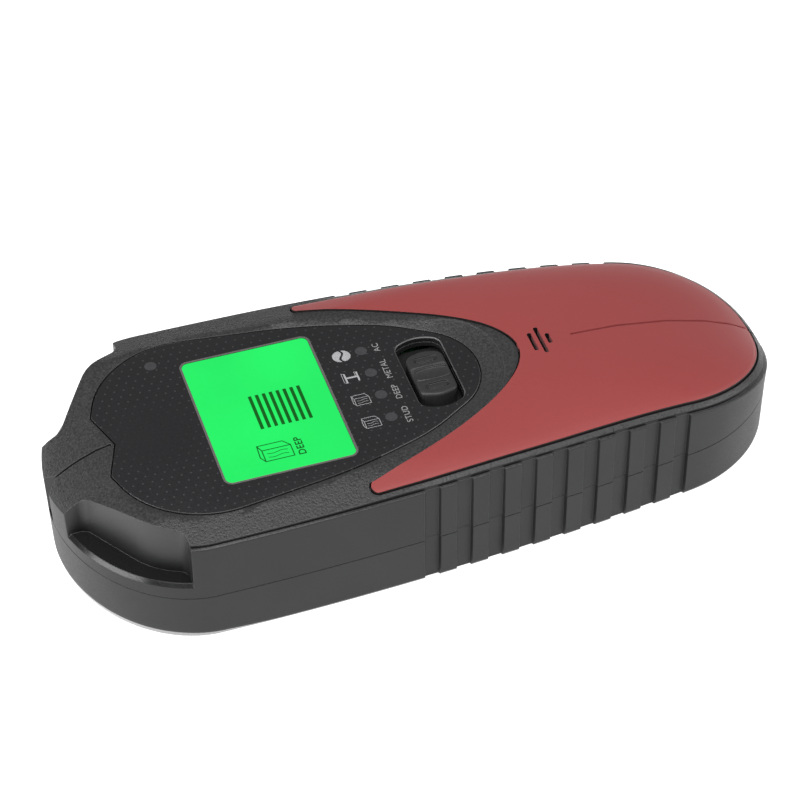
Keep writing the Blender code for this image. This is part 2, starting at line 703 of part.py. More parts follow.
def build_power_button():
    wall_x = half_width(BUTTON_Y)
    face = wall_x + BUTTON_PROUD - 0.1
    half_y = BUTTON_SIZE[0] / 2
    half_z = BUTTON_SIZE[1] / 2
    plan = rounded_rectangle(-half_y, half_y, -half_z, half_z, half_z - 0.02, 6)
    rings = []
    for x, shrink in ((29.9, 0.0), (face - 0.5, 0.0), (face, 0.5)):
        loop = offset_outline(plan, -shrink) if shrink else plan
        rings.append([(x, BUTTON_Y + a, BUTTON_Z + b) for a, b in loop])
    button = ring_stack("power_button", rings, BUTTON_GREY)
    flange = box("flange", (29.9, 31.0), (BUTTON_Y - 8.2, BUTTON_Y + 7.2), (BUTTON_Z - 4.4, BUTTON_Z + 3.2))
    boolean(button, [flange], "UNION")
    set_origin(button, (face, BUTTON_Y, BUTTON_Z))

    z = PCB_Z[1] + 1.8
    base = box("tact_switch_body", (21.3, 27.0), (BUTTON_Y - 3.0, BUTTON_Y + 3.0),
               (PCB_Z[1] + GAP, PCB_Z[1] + 4.0), BLACK_PLASTIC)
    boolean(base, [cylinder_along("bore", "X", (BUTTON_Y, z + 0.3), 1.4, 23.2, 30.0)])
    plunger = cylinder_along("tact_switch_plunger", "X", (BUTTON_Y, z + 0.3), 1.1, 24.4, 29.6, KNOB_GREY)
    set_origin(plunger, (29.6, BUTTON_Y, z + 0.3))


# =============================== battery bay ===============================

def build_battery_bay():
    width, length, height = BATTERY
    y0 = BATTERY_Y0
    y1 = y0 + length
    z0 = BATTERY_Z0
    z1 = z0 + height
    plan = rounded_rectangle(-width / 2, width / 2, z0, z1, 2.2, 4)
    rings = []
    for y, shrink in ((y0, 0.6), (y0 + 0.6, 0.0), (y1 - 0.6, 0.0), (y1, 0.6)):
        loop = offset_outline(plan, -shrink) if shrink else plan
        rings.append([(a, y, b) for a, b in loop])
    ring_stack("battery_9v", rings, BATTERY_STEEL)
    mid_z = (z0 + z1) / 2
    stud_y = (y1 + GAP, y1 + GAP + 1.9)
    cylinder_along("battery_terminal_positive", "Y", (-6.35, mid_z), 2.8, *stud_y, mat=NICKEL)
    cylinder_along("battery_terminal_negative", "Y", (6.35, mid_z), 3.9, *stud_y, mat=NICKEL)
    plate = box("battery_snap", (-12.8, 12.8), (y1 + GAP, y1 + 3.4), (mid_z - 5.8, mid_z + 5.8), VINYL)
    boolean(plate, [
        cylinder_along("socket", "Y", (-6.35, mid_z), 3.1, y1 - 1.0, stud_y[1] + GAP),
        cylinder_along("socket", "Y", (6.35, mid_z), 4.2, y1 - 1.0, stud_y[1] + GAP),
    ])
    lead_y = y1 + 3.4 + GAP
    for name, x, mat in (("battery_lead_red", -6.35, WIRE_RED), ("battery_lead_black", 6.35, WIRE_BLACK)):
        route = [(x, lead_y, mid_z), (x, lead_y + 2.4, mid_z + 0.6),
                 (x * 0.85, lead_y + 4.4, mid_z + 3.4), (x * 0.8, lead_y + 4.8, PCB_Z[0] - GAP)]
        tube(name, route, 0.75, mat)
    box("battery_foam_pad", (-11.0, 11.0), (-57.0, -46.0), (z1 + GAP, 22.4), FOAM)

    # door: flat plate with a round hinge edge at the tail end
    hinge_z = FLOOR_T / 2
    hinge_y = DOOR_Y[0] + hinge_z
    plan = [(hinge_y, FLOOR_T)]
    for k in range(1, 8):
        angle = math.radians(90.0 + 180.0 * k / 8)
        plan.append((hinge_y + hinge_z * math.cos(angle), hinge_z + hinge_z * math.sin(angle)))
    plan += [(hinge_y, 0.0), (DOOR_Y[1], 0.0), (DOOR_Y[1], FLOOR_T)]
    door = ring_stack("battery_door", [[(x, a, b) for a, b in plan] for x in (-DOOR_HALF_X, DOOR_HALF_X)],
                      DARK_LOWER)
    cuts = []
    for k in range(4):
        y = DOOR_Y[1] - 4.0 - 2.4 * k
        half = 6.0 - 1.1 * k
        cuts.append(box("grip_line", (-half, half), (y - 0.5, y + 0.5), (-1.0, 0.6)))
    boolean(door, cuts)
    set_origin(door, (0.0, hinge_y, hinge_z))


# =============================== electronics ===============================

def build_electronics():
    low, high = PCB_Z
    board = box("main_board", (-PCB_HALF_X, PCB_HALF_X), PCB_Y, (low, high), BOARD_GREEN)
    boolean(board, [cylinder("screw_hole", x, y, 1.4, 10.0, 30.0, count=16) for x, y in PCB_SCREWS])
    top = high + GAP
    under = low - GAP
    for index, x in enumerate(LED_X):
        box("mode_led_%d" % (index + 1), (x - 1.0, x + 1.0), (LED_Y - 0.8, LED_Y + 0.8),
            (top, top + 1.0), LED_WHITE)
        cylinder("mode_light_pipe_%d" % (index + 1), x, LED_Y, 1.9, top + 1.3, 28.1, CLEAR)
    wx, wy = WARN_LED
    box("warning_led", (wx - 0.9, wx + 0.9), (wy - 0.8, wy + 0.8), (top, top + 1.0), LED_WHITE)
    cylinder("warning_light_pipe", wx, wy, 1.9, top + 1.3, 28.1, CLEAR)
    box("microcontroller", (-6.0, 6.0), (24.0, 36.0), (under - 1.6, under), CHIP_BLACK)
    box("signal_amplifier", (10.0, 15.0), (8.0, 12.0), (under - 1.4, under), CHIP_BLACK)
    box("voltage_regulator", (-15.0, -8.5), (4.0, 7.5), (under - 1.8, under), CHIP_BLACK)
    box("crystal", (-14.0, -9.4), (26.0, 36.0), (under - 3.4, under), NICKEL)
    cylinder("capacitor_supply", -17.0, 14.0, 3.2, under - 7.5, under, CAP_BLUE)
    cylinder("capacitor_backlight", 17.0, 18.0, 2.6, under - 6.0, under, CAP_BLUE)

    # the sensing board lies on posts just above the floor, copper side down
    box("sensor_board", (-22.2, 22.2), (-6.0, 64.0), (3.05, 4.65), BOARD_GREEN)
    for name, x in (("sensor_plate_left", -13.0), ("sensor_plate_centre", 0.0), ("sensor_plate_right", 13.0)):
        box(name, (x - 5.2, x + 5.2), (4.0, 56.0), (2.3, 2.75), COPPER)
    coil = cylinder("metal_sensing_coil", 0.0, 40.0, 15.5, 4.95, 8.6, COPPER, 32)
    boolean(coil, [cylinder("bore", 0.0, 40.0, 11.0, 0.0, 12.0, count=32)])
    cylinder("coil_core", 0.0, 40.0, 10.6, 4.95, 9.6, FERRITE, 28)
    box("board_connector", (-9.0, 9.0), (8.0, 10.5), (4.95, under), BLACK_PLASTIC)

    sounder = cylinder("piezo_sounder", 0.0, -30.0, 9.0, 21.2, 26.2, BLACK_PLASTIC, 24)
    boolean(sounder, [cylinder("port", 0.0, -30.0, 1.5, 24.0, 30.0, count=16),
                      cylinder("chamber", 0.0, -30.0, 8.0, 20.0, 24.8, count=24)])
    cylinder("piezo_disc", 0.0, -30.0, 7.6, 22.0, 22.5, BRASS, 24)


def build_screws():
    names = ("front_right", "front_left", "tail_right", "tail_left")
    for name, (x, y) in zip(names, CASE_SCREWS):
        screw("case_screw_" + name, x, y, 0.5, 2.6, 2.6, 1.4, crown(x, y) - 5.2)
    names = ("tip_left", "tip_right", "tail_right", "tail_left")
    for name, (x, y) in zip(names, PCB_SCREWS):
        screw("board_screw_" + name, x, y, PCB_Z[0] - GAP - 1.6, PCB_Z[0] - GAP, 2.1, 1.0, 26.2)


def screw(name, x, y, head_low, head_high, head_r, shank_r, tip_z):
    """Pan-head screw pointing up, with a cross recess in its head."""
    rings = []
    for radius, z in ((head_r - 0.5, head_low), (head_r, head_low + 0.5), (head_r, head_high),
                      (shank_r, head_high), (shank_r, tip_z - 1.0), (shank_r * 0.4, tip_z)):
        rings.append([(px, py, z) for px, py in circle(x, y, radius, 12)])
    body = ring_stack(name, rings, STEEL)
    depth = head_low + 1.0
    boolean(body, [box("cross", (x - 1.4, x + 1.4), (y - 0.3, y + 0.3), (head_low - 1.0, depth)),
                   box("cross", (x - 0.3, x + 0.3), (y - 1.4, y + 1.4), (head_low - 1.0, depth))])


# =============================== build ===============================

for existing in list(bpy.data.objects):
    bpy.data.objects.remove(existing)

DARK_UPPER = material("upper_plastic", (0.055, 0.055, 0.056), 0.45)
DARK_LOWER = material("lower_plastic", (0.040, 0.040, 0.041), 0.5)
RED = material("red_paint", (0.38, 0.085, 0.08), 0.45)
PANEL_BLACK = material("panel_black", (0.03, 0.03, 0.032), 0.3)
BLACK_PLASTIC = material("black_plastic", (0.02, 0.02, 0.02), 0.45)
CHIP_BLACK = material("chip_black", (0.015, 0.015, 0.016), 0.55)
KNOB_GREY = material("knob_grey", (0.052, 0.052, 0.053), 0.5)
BUTTON_GREY = material("button_grey", (0.06, 0.06, 0.06), 0.5)
CLEAR = material("clear_plastic", (0.75, 0.78, 0.78), 0.08)
LCD_GREEN = material("lcd_green", (0.03, 0.88, 0.15), 0.2)
LIGHT_GUIDE = material("light_guide", (0.7, 0.9, 0.7), 0.3)
SILICONE = material("elastomer", (0.45, 0.12, 0.12), 0.7)
BOARD_GREEN = material("board_green", (0.02, 0.12, 0.04), 0.4)
COPPER = material("copper", (0.72, 0.33, 0.18), 0.35, 1.0)
FERRITE = material("ferrite", (0.05, 0.05, 0.055), 0.7)
BRASS = material("brass", (0.7, 0.5, 0.2), 0.35, 1.0)
NICKEL = material("nickel", (0.6, 0.58, 0.54), 0.3, 1.0)
STEEL = material("zinc_steel", (0.5, 0.5, 0.52), 0.35, 1.0)
BATTERY_STEEL = material("battery_jacket", (0.08, 0.09, 0.11), 0.4)
VINYL = material("vinyl_black", (0.02, 0.02, 0.02), 0.6)
WIRE_RED = material("wire_red", (0.5, 0.02, 0.02), 0.5)
WIRE_BLACK = material("wire_black", (0.015, 0.015, 0.015), 0.5)
FOAM = material("foam_grey", (0.12, 0.12, 0.12), 0.95)
CAP_BLUE = material("capacitor_sleeve", (0.02, 0.05, 0.2), 0.4)
LED_WHITE = material("led_white", (0.8, 0.8, 0.72), 0.4)

build_lower_shell()
build_upper_shell()
build_red_cover()
build_front_panel()
build_display()
build_mode_slide()
build_power_button()
build_battery_bay()
build_electronics()
build_screws()
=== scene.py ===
"""Looks for the stud finder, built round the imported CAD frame.

Frame: +X to the right, +Y towards the pointed tip, +Z up. Sizes are in millimetres; MM turns
them into metres as meshes are made. Places of the small parts are read from the frame.
"""
import math

import bmesh
import bpy
from mathutils import Matrix, Vector


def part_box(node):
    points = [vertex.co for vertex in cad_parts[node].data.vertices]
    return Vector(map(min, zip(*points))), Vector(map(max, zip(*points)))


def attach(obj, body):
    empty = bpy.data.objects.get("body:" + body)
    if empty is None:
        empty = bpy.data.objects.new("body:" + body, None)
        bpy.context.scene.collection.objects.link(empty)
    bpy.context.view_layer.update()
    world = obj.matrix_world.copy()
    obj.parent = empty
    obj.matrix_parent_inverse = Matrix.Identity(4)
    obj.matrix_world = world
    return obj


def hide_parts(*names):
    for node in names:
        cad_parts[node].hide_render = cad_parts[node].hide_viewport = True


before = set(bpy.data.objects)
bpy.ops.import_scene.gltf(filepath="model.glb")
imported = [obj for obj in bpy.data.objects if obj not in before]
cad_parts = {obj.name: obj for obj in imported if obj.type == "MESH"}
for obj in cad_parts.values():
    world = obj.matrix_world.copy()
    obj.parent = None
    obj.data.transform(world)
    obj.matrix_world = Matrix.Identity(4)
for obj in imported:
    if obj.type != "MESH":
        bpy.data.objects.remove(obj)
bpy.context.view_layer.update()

MM = 0.001

# ---- camera and floor: angles in degrees, lengths in millimetres ----
CAMERA_AZIMUTH = -107.27
CAMERA_ELEVATION = 43.57
CAMERA_ROLL = -0.96
CAMERA_DISTANCE = 663.56
CAMERA_RIGHT = -0.65
CAMERA_UP = 16.52
CAMERA_AIM_Y = 2.5
CAMERA_LENS = 132.8
FLOOR_Z = -0.2

# ---- body outline and heights ----
TIP_Y = 82.6
TAIL_Y = -82.5
HALF_WIDTH = 34.4
TAPER_START = 52.0
TAPER_RATE = 0.00066
NOSE_CAP_START = 54.0
NOSE_CAP_POWER = 1.9  # 2 would make the end cap an ellipse
TAIL_CAP_START = -56.0
TAIL_CAP_POWER = 2.2
BOTTOM_INSET = 0.5
CHAMFER = 0.8  # width of the rolled bottom edge
CHAMFER_HEIGHT = 1.2
CHAMFER_GROWTH = 1.5  # the rolled edge is this much taller under the nose
PARTING_INSET = 0.25
PARTING_Z = 12.5
PARTING_GAP = 0.07
LIP_TOP = 14.0
LIP_INSET = 4.2  # inner face of the lip that locates the upper shell
EDGE_Z = 27.5
TAIL_Z = 16.0
CROWN_TOP = 30.9
CROWN_START = -30.0
SKIN = 3.2
WALL = 2.6
HOLLOW_NOSE = 7.2  # extra inset of the hollow behind the scoops
NOSE_DROP_START = 68.0
NOSE_SLOPE = 0.203
NOSE_CURVE = 0.022
BEZEL_RISE = 0.35
BEZEL_HALF = 25.5  # the bezel falls away to the sides beyond this
BEZEL_FALL = 0.28
DISH_FRONT = 1.4
DISH_TAIL = 5.0
DISH_STEP = 0.25  # small step at the outer edge of the ramp's round end
BAND_INSET = 1.0  # edge of the band round the top
BAND_ROLL = 0.09  # rounding of the band beside the red cover
BAND_ROLL_WIDTH = 3.2
EDGE_GROOVE = 0.36  # depth of the shadow line along the band's edge

# ---- grip ribs ----
RIB_COUNT = 9
RIB_PITCH = 7.4
RIB_START = 4.6
RIB_GAP = 3.0
RIB_FLANK = 0.4
RIB_FLOOR_LOW = 1.6  # inset of a recess floor at the bottom edge
RIB_FLOOR_HIGH = 0.82  # and from RIB_FLOOR_Z up
RIB_FLOOR_Z = 24.0

# ---- scoops and nose ----
SCOOP_X = 10.6
SCOOP_FLOOR = 16.6
SCOOP_RIM = 15.6
SCOOP_END_Y = 59.1
NOTCH_HALF = 2.5
NOTCH_APEX_Y = 80.0

# ---- panel, display and slot ----
PANEL_LOW, PANEL_HIGH = [Vector(corner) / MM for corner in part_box("front_panel")]
PANEL_TOP = PANEL_HIGH.z
PANEL_T = PANEL_HIGH.z - PANEL_LOW.z
LCD_LOW, LCD_HIGH = [Vector(corner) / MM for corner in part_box("lcd_window")]
SLOT_HALF_X = 11.2
SLOT_CORNER_X = 9.7
SLOT_Y = (-9.2, 1.2)
LCD_RADIUS = 1.5
LCD_OPENING_X = (-21.0, 21.0)
LCD_OPENING_Y = (17.0, 48.7)

# ---- printed marks ----
PRINT_LIFT = 0.03  # ink stands this far above the panel
LAMP_RADIUS = 1.35
MODE_WORDS = (("STUD", -11.2), ("DEEP", -3.85), ("METAL", 3.8), ("AC", 11.1))
LABEL_SIZE = 1.95
LABEL_Y = 4.75
STUD_ICON_X = (-12.8, -5.4)  # left edges of the two timber icons
STUD_ICON_Y = 11.0
ICON_Y = 12.9
BEAM_X = 3.55
WAVE_X = 10.75
WAVE_RADIUS = 1.78
WAVE_GAP = 0.52
THIN_LINE = 0.12
SEGMENT_COUNT = 8
SEGMENT_X = (-5.8, 4.84)
SEGMENT_START_Y = 24.69
SEGMENT_PITCH = 1.554
SEGMENT_HALF = 0.38

# ---- red cover ----
RED_RAISE = 0.4
RED_T = 1.5
RED_INSET = 2.53
RED_GAP = 0.42
RED_APEX_Y = -24.0
RED_FRONT_HALF = 28.3  # the front edge curves forward out to here
RED_FRONT_RATE = 0.062
RED_FRONT_POWER = 1.95
HORN_RADIUS = 1.5
HORN_CENTRE = (29.6, 17.2)
SOUND_SLOTS = ((-27.9, 2.9), (-29.8, 4.2), (-31.6, 1.6))
SOUND_SLOT_W = 1.0
GROOVE_START = -36.7
GROOVE_DEPTH = 0.8
GROOVE_TOP_HALF = 0.4
GROOVE_FLOOR_HALF = 0.18

# ---- slide knob and power button ----
KNOB_FROM_LOW_X = 12.4  # knob centre, measured from the low end of its skirt
KNOB_HALF_X = 6.96
KNOB_HALF_Y = 4.25
SKIRT_TOP = 25.8
SADDLE_RADIUS = 5.2
SADDLE_RISE = 4.6  # axis of the saddle above the knob's top
WELL_X = 4.3
WELL_HALF_X = 1.05
WELL_HALF_Y = 2.7
RIDGE_X = 1.4
BUTTON_Y = 30.0
BUTTON_Z = 21.5
BUTTON_HALF_Y = 6.5
BUTTON_HALF_Z = 3.0
BUTTON_BAR_PITCH = 1.8

# ---- screws and battery door, seen from below ----
CASE_SCREWS = ((26.6, 39.0), (-26.6, 39.0), (14.0, -65.2), (-14.0, -65.2))
BOSS_RADIUS = 3.6
BORE_RADIUS = 1.7
HEAD_RADIUS = 2.9
CRADLE_X = (15.3, 16.5)
CRADLE_Y = (-58.0, -15.0)
DOOR_LOW, DOOR_HIGH = [Vector(corner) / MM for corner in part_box("battery_door")]
FLOOR_T = 2.0
GAP = 0.3

OUTLINE_STEPS = 34  # points round each end cap and down each side
SMOOTH_ANGLE = math.radians(32.0)
# cutters reach out to here, clear of the part
FAR_X = 50.0
FAR_Y = 95.0
FAR_Z = 45.0
UNDER_SKIN = 20.0  # below the skin of the upper shell


# ======== mesh helpers ========

def smoothstep(t):
    t = max(0.0, min(1.0, t))
    return t * t * (3.0 - 2.0 * t)


def ramp(value, start, end):
    """Smooth step that is 0 at start and 1 at end."""
    return smoothstep((value - start) / (end - start))


def add_object(name, data):
    obj = bpy.data.objects.new(name, data)
    bpy.context.collection.objects.link(obj)
    return obj


def smooth(mesh):
    mesh.shade_smooth()
    mesh.set_sharp_from_angle(angle=SMOOTH_ANGLE)


def make_object(name, bm):
    """Turn a bmesh in millimetres into an object in metres."""
    bmesh.ops.scale(bm, vec=(MM, MM, MM), verts=bm.verts)
    bmesh.ops.recalc_face_normals(bm, faces=bm.faces)
    mesh = bpy.data.meshes.new(name)
    bm.to_mesh(mesh)
    bm.free()
    smooth(mesh)
    return add_object(name, mesh)


def evaluated_mesh(obj):
    """Mesh of an object with its modifiers applied."""
    bpy.context.view_layer.update()
    graph = bpy.context.evaluated_depsgraph_get()
    return bpy.data.meshes.new_from_object(obj.evaluated_get(graph))


def add_rings(bm, rings):
    """Closed skin through rings of equal point count; the end rings are capped."""
    loops = [[bm.verts.new(p) for p in ring] for ring in rings]
    count = len(rings[0])
    for low, high in zip(loops, loops[1:]):
        for i in range(count):
            j = (i + 1) % count
            bm.faces.new((low[i], low[j], high[j], high[i]))
    bm.faces.new(list(reversed(loops[0])))
    bm.faces.new(loops[-1])


def ring_stack(name, rings):
    bm = bmesh.new()
    add_rings(bm, rings)
    return make_object(name, bm)


def prism(name, outline_points, z0, z1):
    return ring_stack(name, [[(x, y, z) for x, y in outline_points] for z in (z0, z1)])


def box(name, x, y, z):
    return prism(name, [(x[0], y[0]), (x[1], y[0]), (x[1], y[1]), (x[0], y[1])], z[0], z[1])


def circle(cx, cy, radius, count=40):
    step = 2.0 * math.pi / count
    return [(cx + radius * math.cos(i * step), cy + radius * math.sin(i * step)) for i in range(count)]


def cylinder(name, cx, cy, radius, z0, z1):
    return prism(name, circle(cx, cy, radius), z0, z1)


def rounded_polygon(corners, steps):
    """Outline from (x, y, radius) corners, each rounded with an arc."""
    points = []
    count = len(corners)
    for i, (x, y, radius) in enumerate(corners):
        here = Vector((x, y))
        if radius <= 0.0:
            points.append((x, y))
            continue
        before = (Vector(corners[i - 1][:2]) - here).normalized()
        after = (Vector(corners[(i + 1) % count][:2]) - here).normalized()
        half = before.angle(after) / 2.0
        reach = radius / math.tan(half)
        centre = here + (before + after).normalized() * (radius / math.sin(half))
        start = here + before * reach - centre
        sweep = (here + after * reach - centre).angle_signed(start)
        base = math.atan2(start.y, start.x)
        for k in range(steps + 1):
            angle = base + sweep * k / steps
            points.append((centre.x + radius * math.cos(angle), centre.y + radius * math.sin(angle)))
    return points


def rounded_rectangle(x0, x1, y0, y1, radius, steps):
    corners = [(x0, y0, radius), (x1, y0, radius), (x1, y1, radius), (x0, y1, radius)]
    return rounded_polygon(corners, steps)


def offset_outline(points, distance):
    """Move a counter-clockwise outline outwards by distance."""
    result = []
    count = len(points)
    for i in range(count):
        before = Vector(points[i - 1])
        here = Vector(points[i])
        after = Vector(points[(i + 1) % count])
        first = (here - before).normalized()
        second = (after - here).normalized()
        n1 = Vector((first.y, -first.x))
        n2 = Vector((second.y, -second.x))
        bisector = (n1 + n2).normalized()
        shift = distance / max(0.3, bisector.dot(n1))
        result.append((here.x + bisector.x * shift, here.y + bisector.y * shift))
    return result


def boolean(target, tools, operation="DIFFERENCE"):
    """Apply one Boolean per tool and remove the tools."""
    for tool in tools:
        modifier = target.modifiers.new("cut", "BOOLEAN")
        modifier.operation = operation
        modifier.solver = "EXACT"
        modifier.object = tool
        mesh = evaluated_mesh(target)
        target.modifiers.clear()
        old = target.data
        target.data = mesh
        bpy.data.meshes.remove(old)
        bpy.data.objects.remove(tool)
    smooth(target.data)


def join(target, pieces):
    """Add pieces that sit partly inside the target to its mesh."""
    bm = bmesh.new()
    bm.from_mesh(target.data)
    for piece in pieces:
        bm.from_mesh(piece.data)
        bpy.data.objects.remove(piece)
    bm.to_mesh(target.data)
    bm.free()
    smooth(target.data)


def weighted_normals(obj):
    modifier = obj.modifiers.new("weighted_normals", "WEIGHTED_NORMAL")
    modifier.keep_sharp = True


def remesh_soft(obj, voxel, passes):
    """Even out a small moulded piece and round its edges a little."""
    remesh = obj.modifiers.new("remesh", "REMESH")
    remesh.mode = "VOXEL"
    remesh.voxel_size = voxel * MM
    relax = obj.modifiers.new("relax", "SMOOTH")
    relax.iterations = passes
    relax.factor = 0.5
    mesh = evaluated_mesh(obj)
    obj.modifiers.clear()
    obj.data = mesh
    mesh.shade_smooth()


def finish_piece(obj, material, body, slot, *nodes):
    """Give a piece its material and body, and hide the CAD nodes it stands for; slot is not used."""
    obj.data.materials.clear()
    obj.data.materials.append(material)
    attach(obj, body)
    if nodes:
        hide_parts(*nodes)


# ======== body shape ========

def half_width(y):
    width = HALF_WIDTH
    if y < TAPER_START:
        width -= TAPER_RATE * (TAPER_START - y) ** 2
    if y > NOSE_CAP_START:
        t = min(1.0, (y - NOSE_CAP_START) / (TIP_Y - NOSE_CAP_START))
        width *= (1.0 - t ** NOSE_CAP_POWER) ** (1.0 / NOSE_CAP_POWER)
    if y < TAIL_CAP_START:
        t = min(1.0, (TAIL_CAP_START - y) / (TAIL_CAP_START - TAIL_Y))
        width *= (1.0 - t ** TAIL_CAP_POWER) ** (1.0 / TAIL_CAP_POWER)
    return width


def side_stations(steps):
    """Values of y down one side, from the tip to just before the tail."""
    stations = []
    for k in range(steps):
        angle = math.radians(90.0) * k / steps
        stations.append(NOSE_CAP_START + (TIP_Y - NOSE_CAP_START) * math.cos(angle))
    length = NOSE_CAP_START - TAIL_CAP_START
    stations += [NOSE_CAP_START - length * k / steps for k in range(steps)]
    for k in range(steps):
        angle = math.radians(90.0) * k / steps
        stations.append(TAIL_CAP_START - (TAIL_CAP_START - TAIL_Y) * math.sin(angle))
    return stations


def outline(inset, hollow_nose=0.0, steps=OUTLINE_STEPS):
    """Counter-clockwise body outline moved inwards; hollow_nose adds inset behind the scoops."""
    right = []
    for y in side_stations(steps):
        above = min(y + 0.05, TIP_Y)
        below = max(y - 0.05, TAIL_Y)
        normal = Vector((above - below, half_width(below) - half_width(above))).normalized()
        if y >= TIP_Y:
            normal = Vector((0.0, 1.0))
        depth = inset + hollow_nose * ramp(y, 48.0, 60.0)
        right.append((half_width(y) - normal.x * depth, y - normal.y * depth))
    left = [(-x, y) for x, y in right[1:]]
    return left + [(0.0, TAIL_Y + inset)] + right[::-1]


def edge_height(y):
    if y >= 0.0:
        return EDGE_Z
    t = min(1.0, y / TAIL_Y)
    return TAIL_Z + (EDGE_Z - TAIL_Z) * (1.0 - t ** 3) ** (2.0 / 3.0)


def front_surface(x, y):
    """Flat bezel that falls away to the sides and to the tip."""
    rise = BEZEL_RISE * ramp(y, 74.0, 66.0)
    side_fall = BEZEL_FALL * max(0.0, abs(x) - BEZEL_HALF)
    past = max(0.0, y - NOSE_DROP_START)
    return PANEL_TOP + rise - side_fall - NOSE_SLOPE * past - NOSE_CURVE * past * past


def rim_height(x, y):
    """Top of the side wall where the ledge starts."""
    return min(edge_height(y), front_surface(x, y))


def crown(x, y):
    """Top surface of the upper shell before anything is cut into it."""
    front = front_surface(x, y)
    t = min(1.0, max(0.0, (CROWN_START - y) / (CROWN_START - TAIL_Y)))
    spine = TAIL_Z + (CROWN_TOP - TAIL_Z) * (1.0 - t ** 2.2) ** (2.0 / 3.0)
    edge = edge_height(y)
    half = half_width(max(y, TAIL_Y))
    u = min(1.0, abs(x) / max(0.01, half))
    back = edge + (spine - edge) * (1.0 - u ** 4)
    roll = max(0.0, abs(x) - half + BAND_ROLL_WIDTH)
    roll *= ramp(y, -78.0, -68.0) * ramp(y, 12.0, 7.0)
    return front + (back - front) * ramp(y, 5.0, -25.0) - BAND_ROLL * roll * roll


def crown_rings(base, scales, lift):
    """Rings shrinking towards the middle of the base outline, lying on the crown."""
    return [[(x * s, y * s, crown(x * s, y * s) + lift) for x, y in base] for s in scales]


def rib_cutter():
    """Tapered flutes between the grip ribs on both sides."""
    bm = bmesh.new()
    for side in (-1, 1):
        for k in range(RIB_COUNT):
            low_y = RIB_START - RIB_PITCH * k
            high_y = low_y + RIB_GAP
            rings = []
            for z, wall, floor in ((-1.0, BOTTOM_INSET + 0.02, RIB_FLOOR_LOW),
                                   (RIB_FLOOR_Z, 0.02, RIB_FLOOR_HIGH),
                                   (34.0, -0.1, RIB_FLOOR_HIGH)):
                plan = [
                    (FAR_X, low_y - RIB_FLANK), (FAR_X, high_y + RIB_FLANK),
                    (half_width(high_y) - wall + 0.05, high_y + RIB_FLANK),
                    (half_width(high_y) - floor, high_y),
                    (half_width(low_y) - floor, low_y),
                    (half_width(low_y) - wall + 0.05, low_y - RIB_FLANK),
                ]
                rings.append([(side * x, y, z) for x, y in plan])
            add_rings(bm, rings)
    return make_object("rib_cutter", bm)


def panel_outline():
    """Pick-shaped front panel: blunt notched end at the nose, round point at the tail."""
    right = [
        (0.0, 66.6, 0.0), (9.2, 69.75, 1.2), (29.2, 63.2, 21.5),
        (23.4, 19.4, 120.0), (17.7, 1.1, 40.0), (7.9, -14.9, 13.9),
    ]
    left = [(-x, y, r) for x, y, r in reversed(right[1:])]
    return rounded_polygon(list(reversed(right + left)), 18)


def dish_cutter():
    """Everything above the ramp that runs from the bezel down to the panel's edge."""
    low = offset_outline(panel_outline(), GAP)
    crease = []
    step = []
    for (x, y), (far_x, far_y) in zip(low, offset_outline(low, 1.0)):
        tail = ramp(y, -2.0, -15.0)
        width = DISH_FRONT + (DISH_TAIL - DISH_FRONT) * tail
        crease.append((x + (far_x - x) * width, y + (far_y - y) * width))
        step.append(0.05 - DISH_STEP * tail)
    rings = [
        [(x, y, PANEL_TOP - 0.15) for x, y in low],
        [(x, y, crown(x, y) + lift) for (x, y), lift in zip(crease, step)],
        [(x, y, FAR_Z) for x, y in crease],
    ]
    return ring_stack("dish", rings)


def slot_outline():
    """Slide slot: straight long sides and bowed short ends."""
    y0, y1 = SLOT_Y
    mid = (y0 + y1) / 2.0
    bow = SLOT_HALF_X + 0.6
    corners = [
        (-SLOT_CORNER_X, y0, 2.6), (SLOT_CORNER_X, y0, 2.6), (bow, mid, 8.0),
        (SLOT_CORNER_X, y1, 2.6), (-SLOT_CORNER_X, y1, 2.6), (-bow, mid, 8.0),
    ]
    return rounded_polygon(corners, 8)


def red_front(shift=0.0):
    """Region in front of the red cover: its curved front edge with a rounded horn each side."""
    cx, cy = HORN_CENTRE
    radius = HORN_RADIUS + RED_GAP + shift
    right = []
    for k in range(41):
        x = RED_FRONT_HALF * k / 40
        right.append((x, RED_APEX_Y + shift + RED_FRONT_RATE * x ** RED_FRONT_POWER))
    for k in range(1, 11):
        angle = math.radians(160.0 - 16.0 * k)
        right.append((cx + radius * math.cos(angle), cy + radius * math.sin(angle)))
    right.append((FAR_X, cy))
    right.append((FAR_X, FAR_Y))
    left = [(-x, y) for x, y in reversed(right[1:])]
    return left + right


def scoop_outline(side):
    """Plan of the pocket cut into one front corner."""
    corners = [
        (SCOOP_X, FAR_Y, 0.0), (SCOOP_X, 76.6, 2.5), (25.8, 66.4, 16.0),
        (29.4, SCOOP_END_Y, 3.0), (FAR_X, SCOOP_END_Y, 0.0), (FAR_X, FAR_Y, 0.0),
    ]
    points = rounded_polygon(corners, 9)
    if side < 0:
        points = [(-x, y) for x, y in reversed(points)]
    return points


def scoop_cutter(side):
    """Pocket with a flat floor whose outer rim slopes down to the wall."""
    rim = SCOOP_FLOOR - SCOOP_RIM
    block = prism("scoop", scoop_outline(side), SCOOP_RIM - rim + 0.2, FAR_Z)
    floor = [[(x, y, SCOOP_RIM - rim) for x, y in outline(-rim, steps=43)],
             [(x, y, SCOOP_FLOOR) for x, y in outline(rim, steps=43)]]
    boolean(block, [ring_stack("scoop_floor", floor)])
    return block


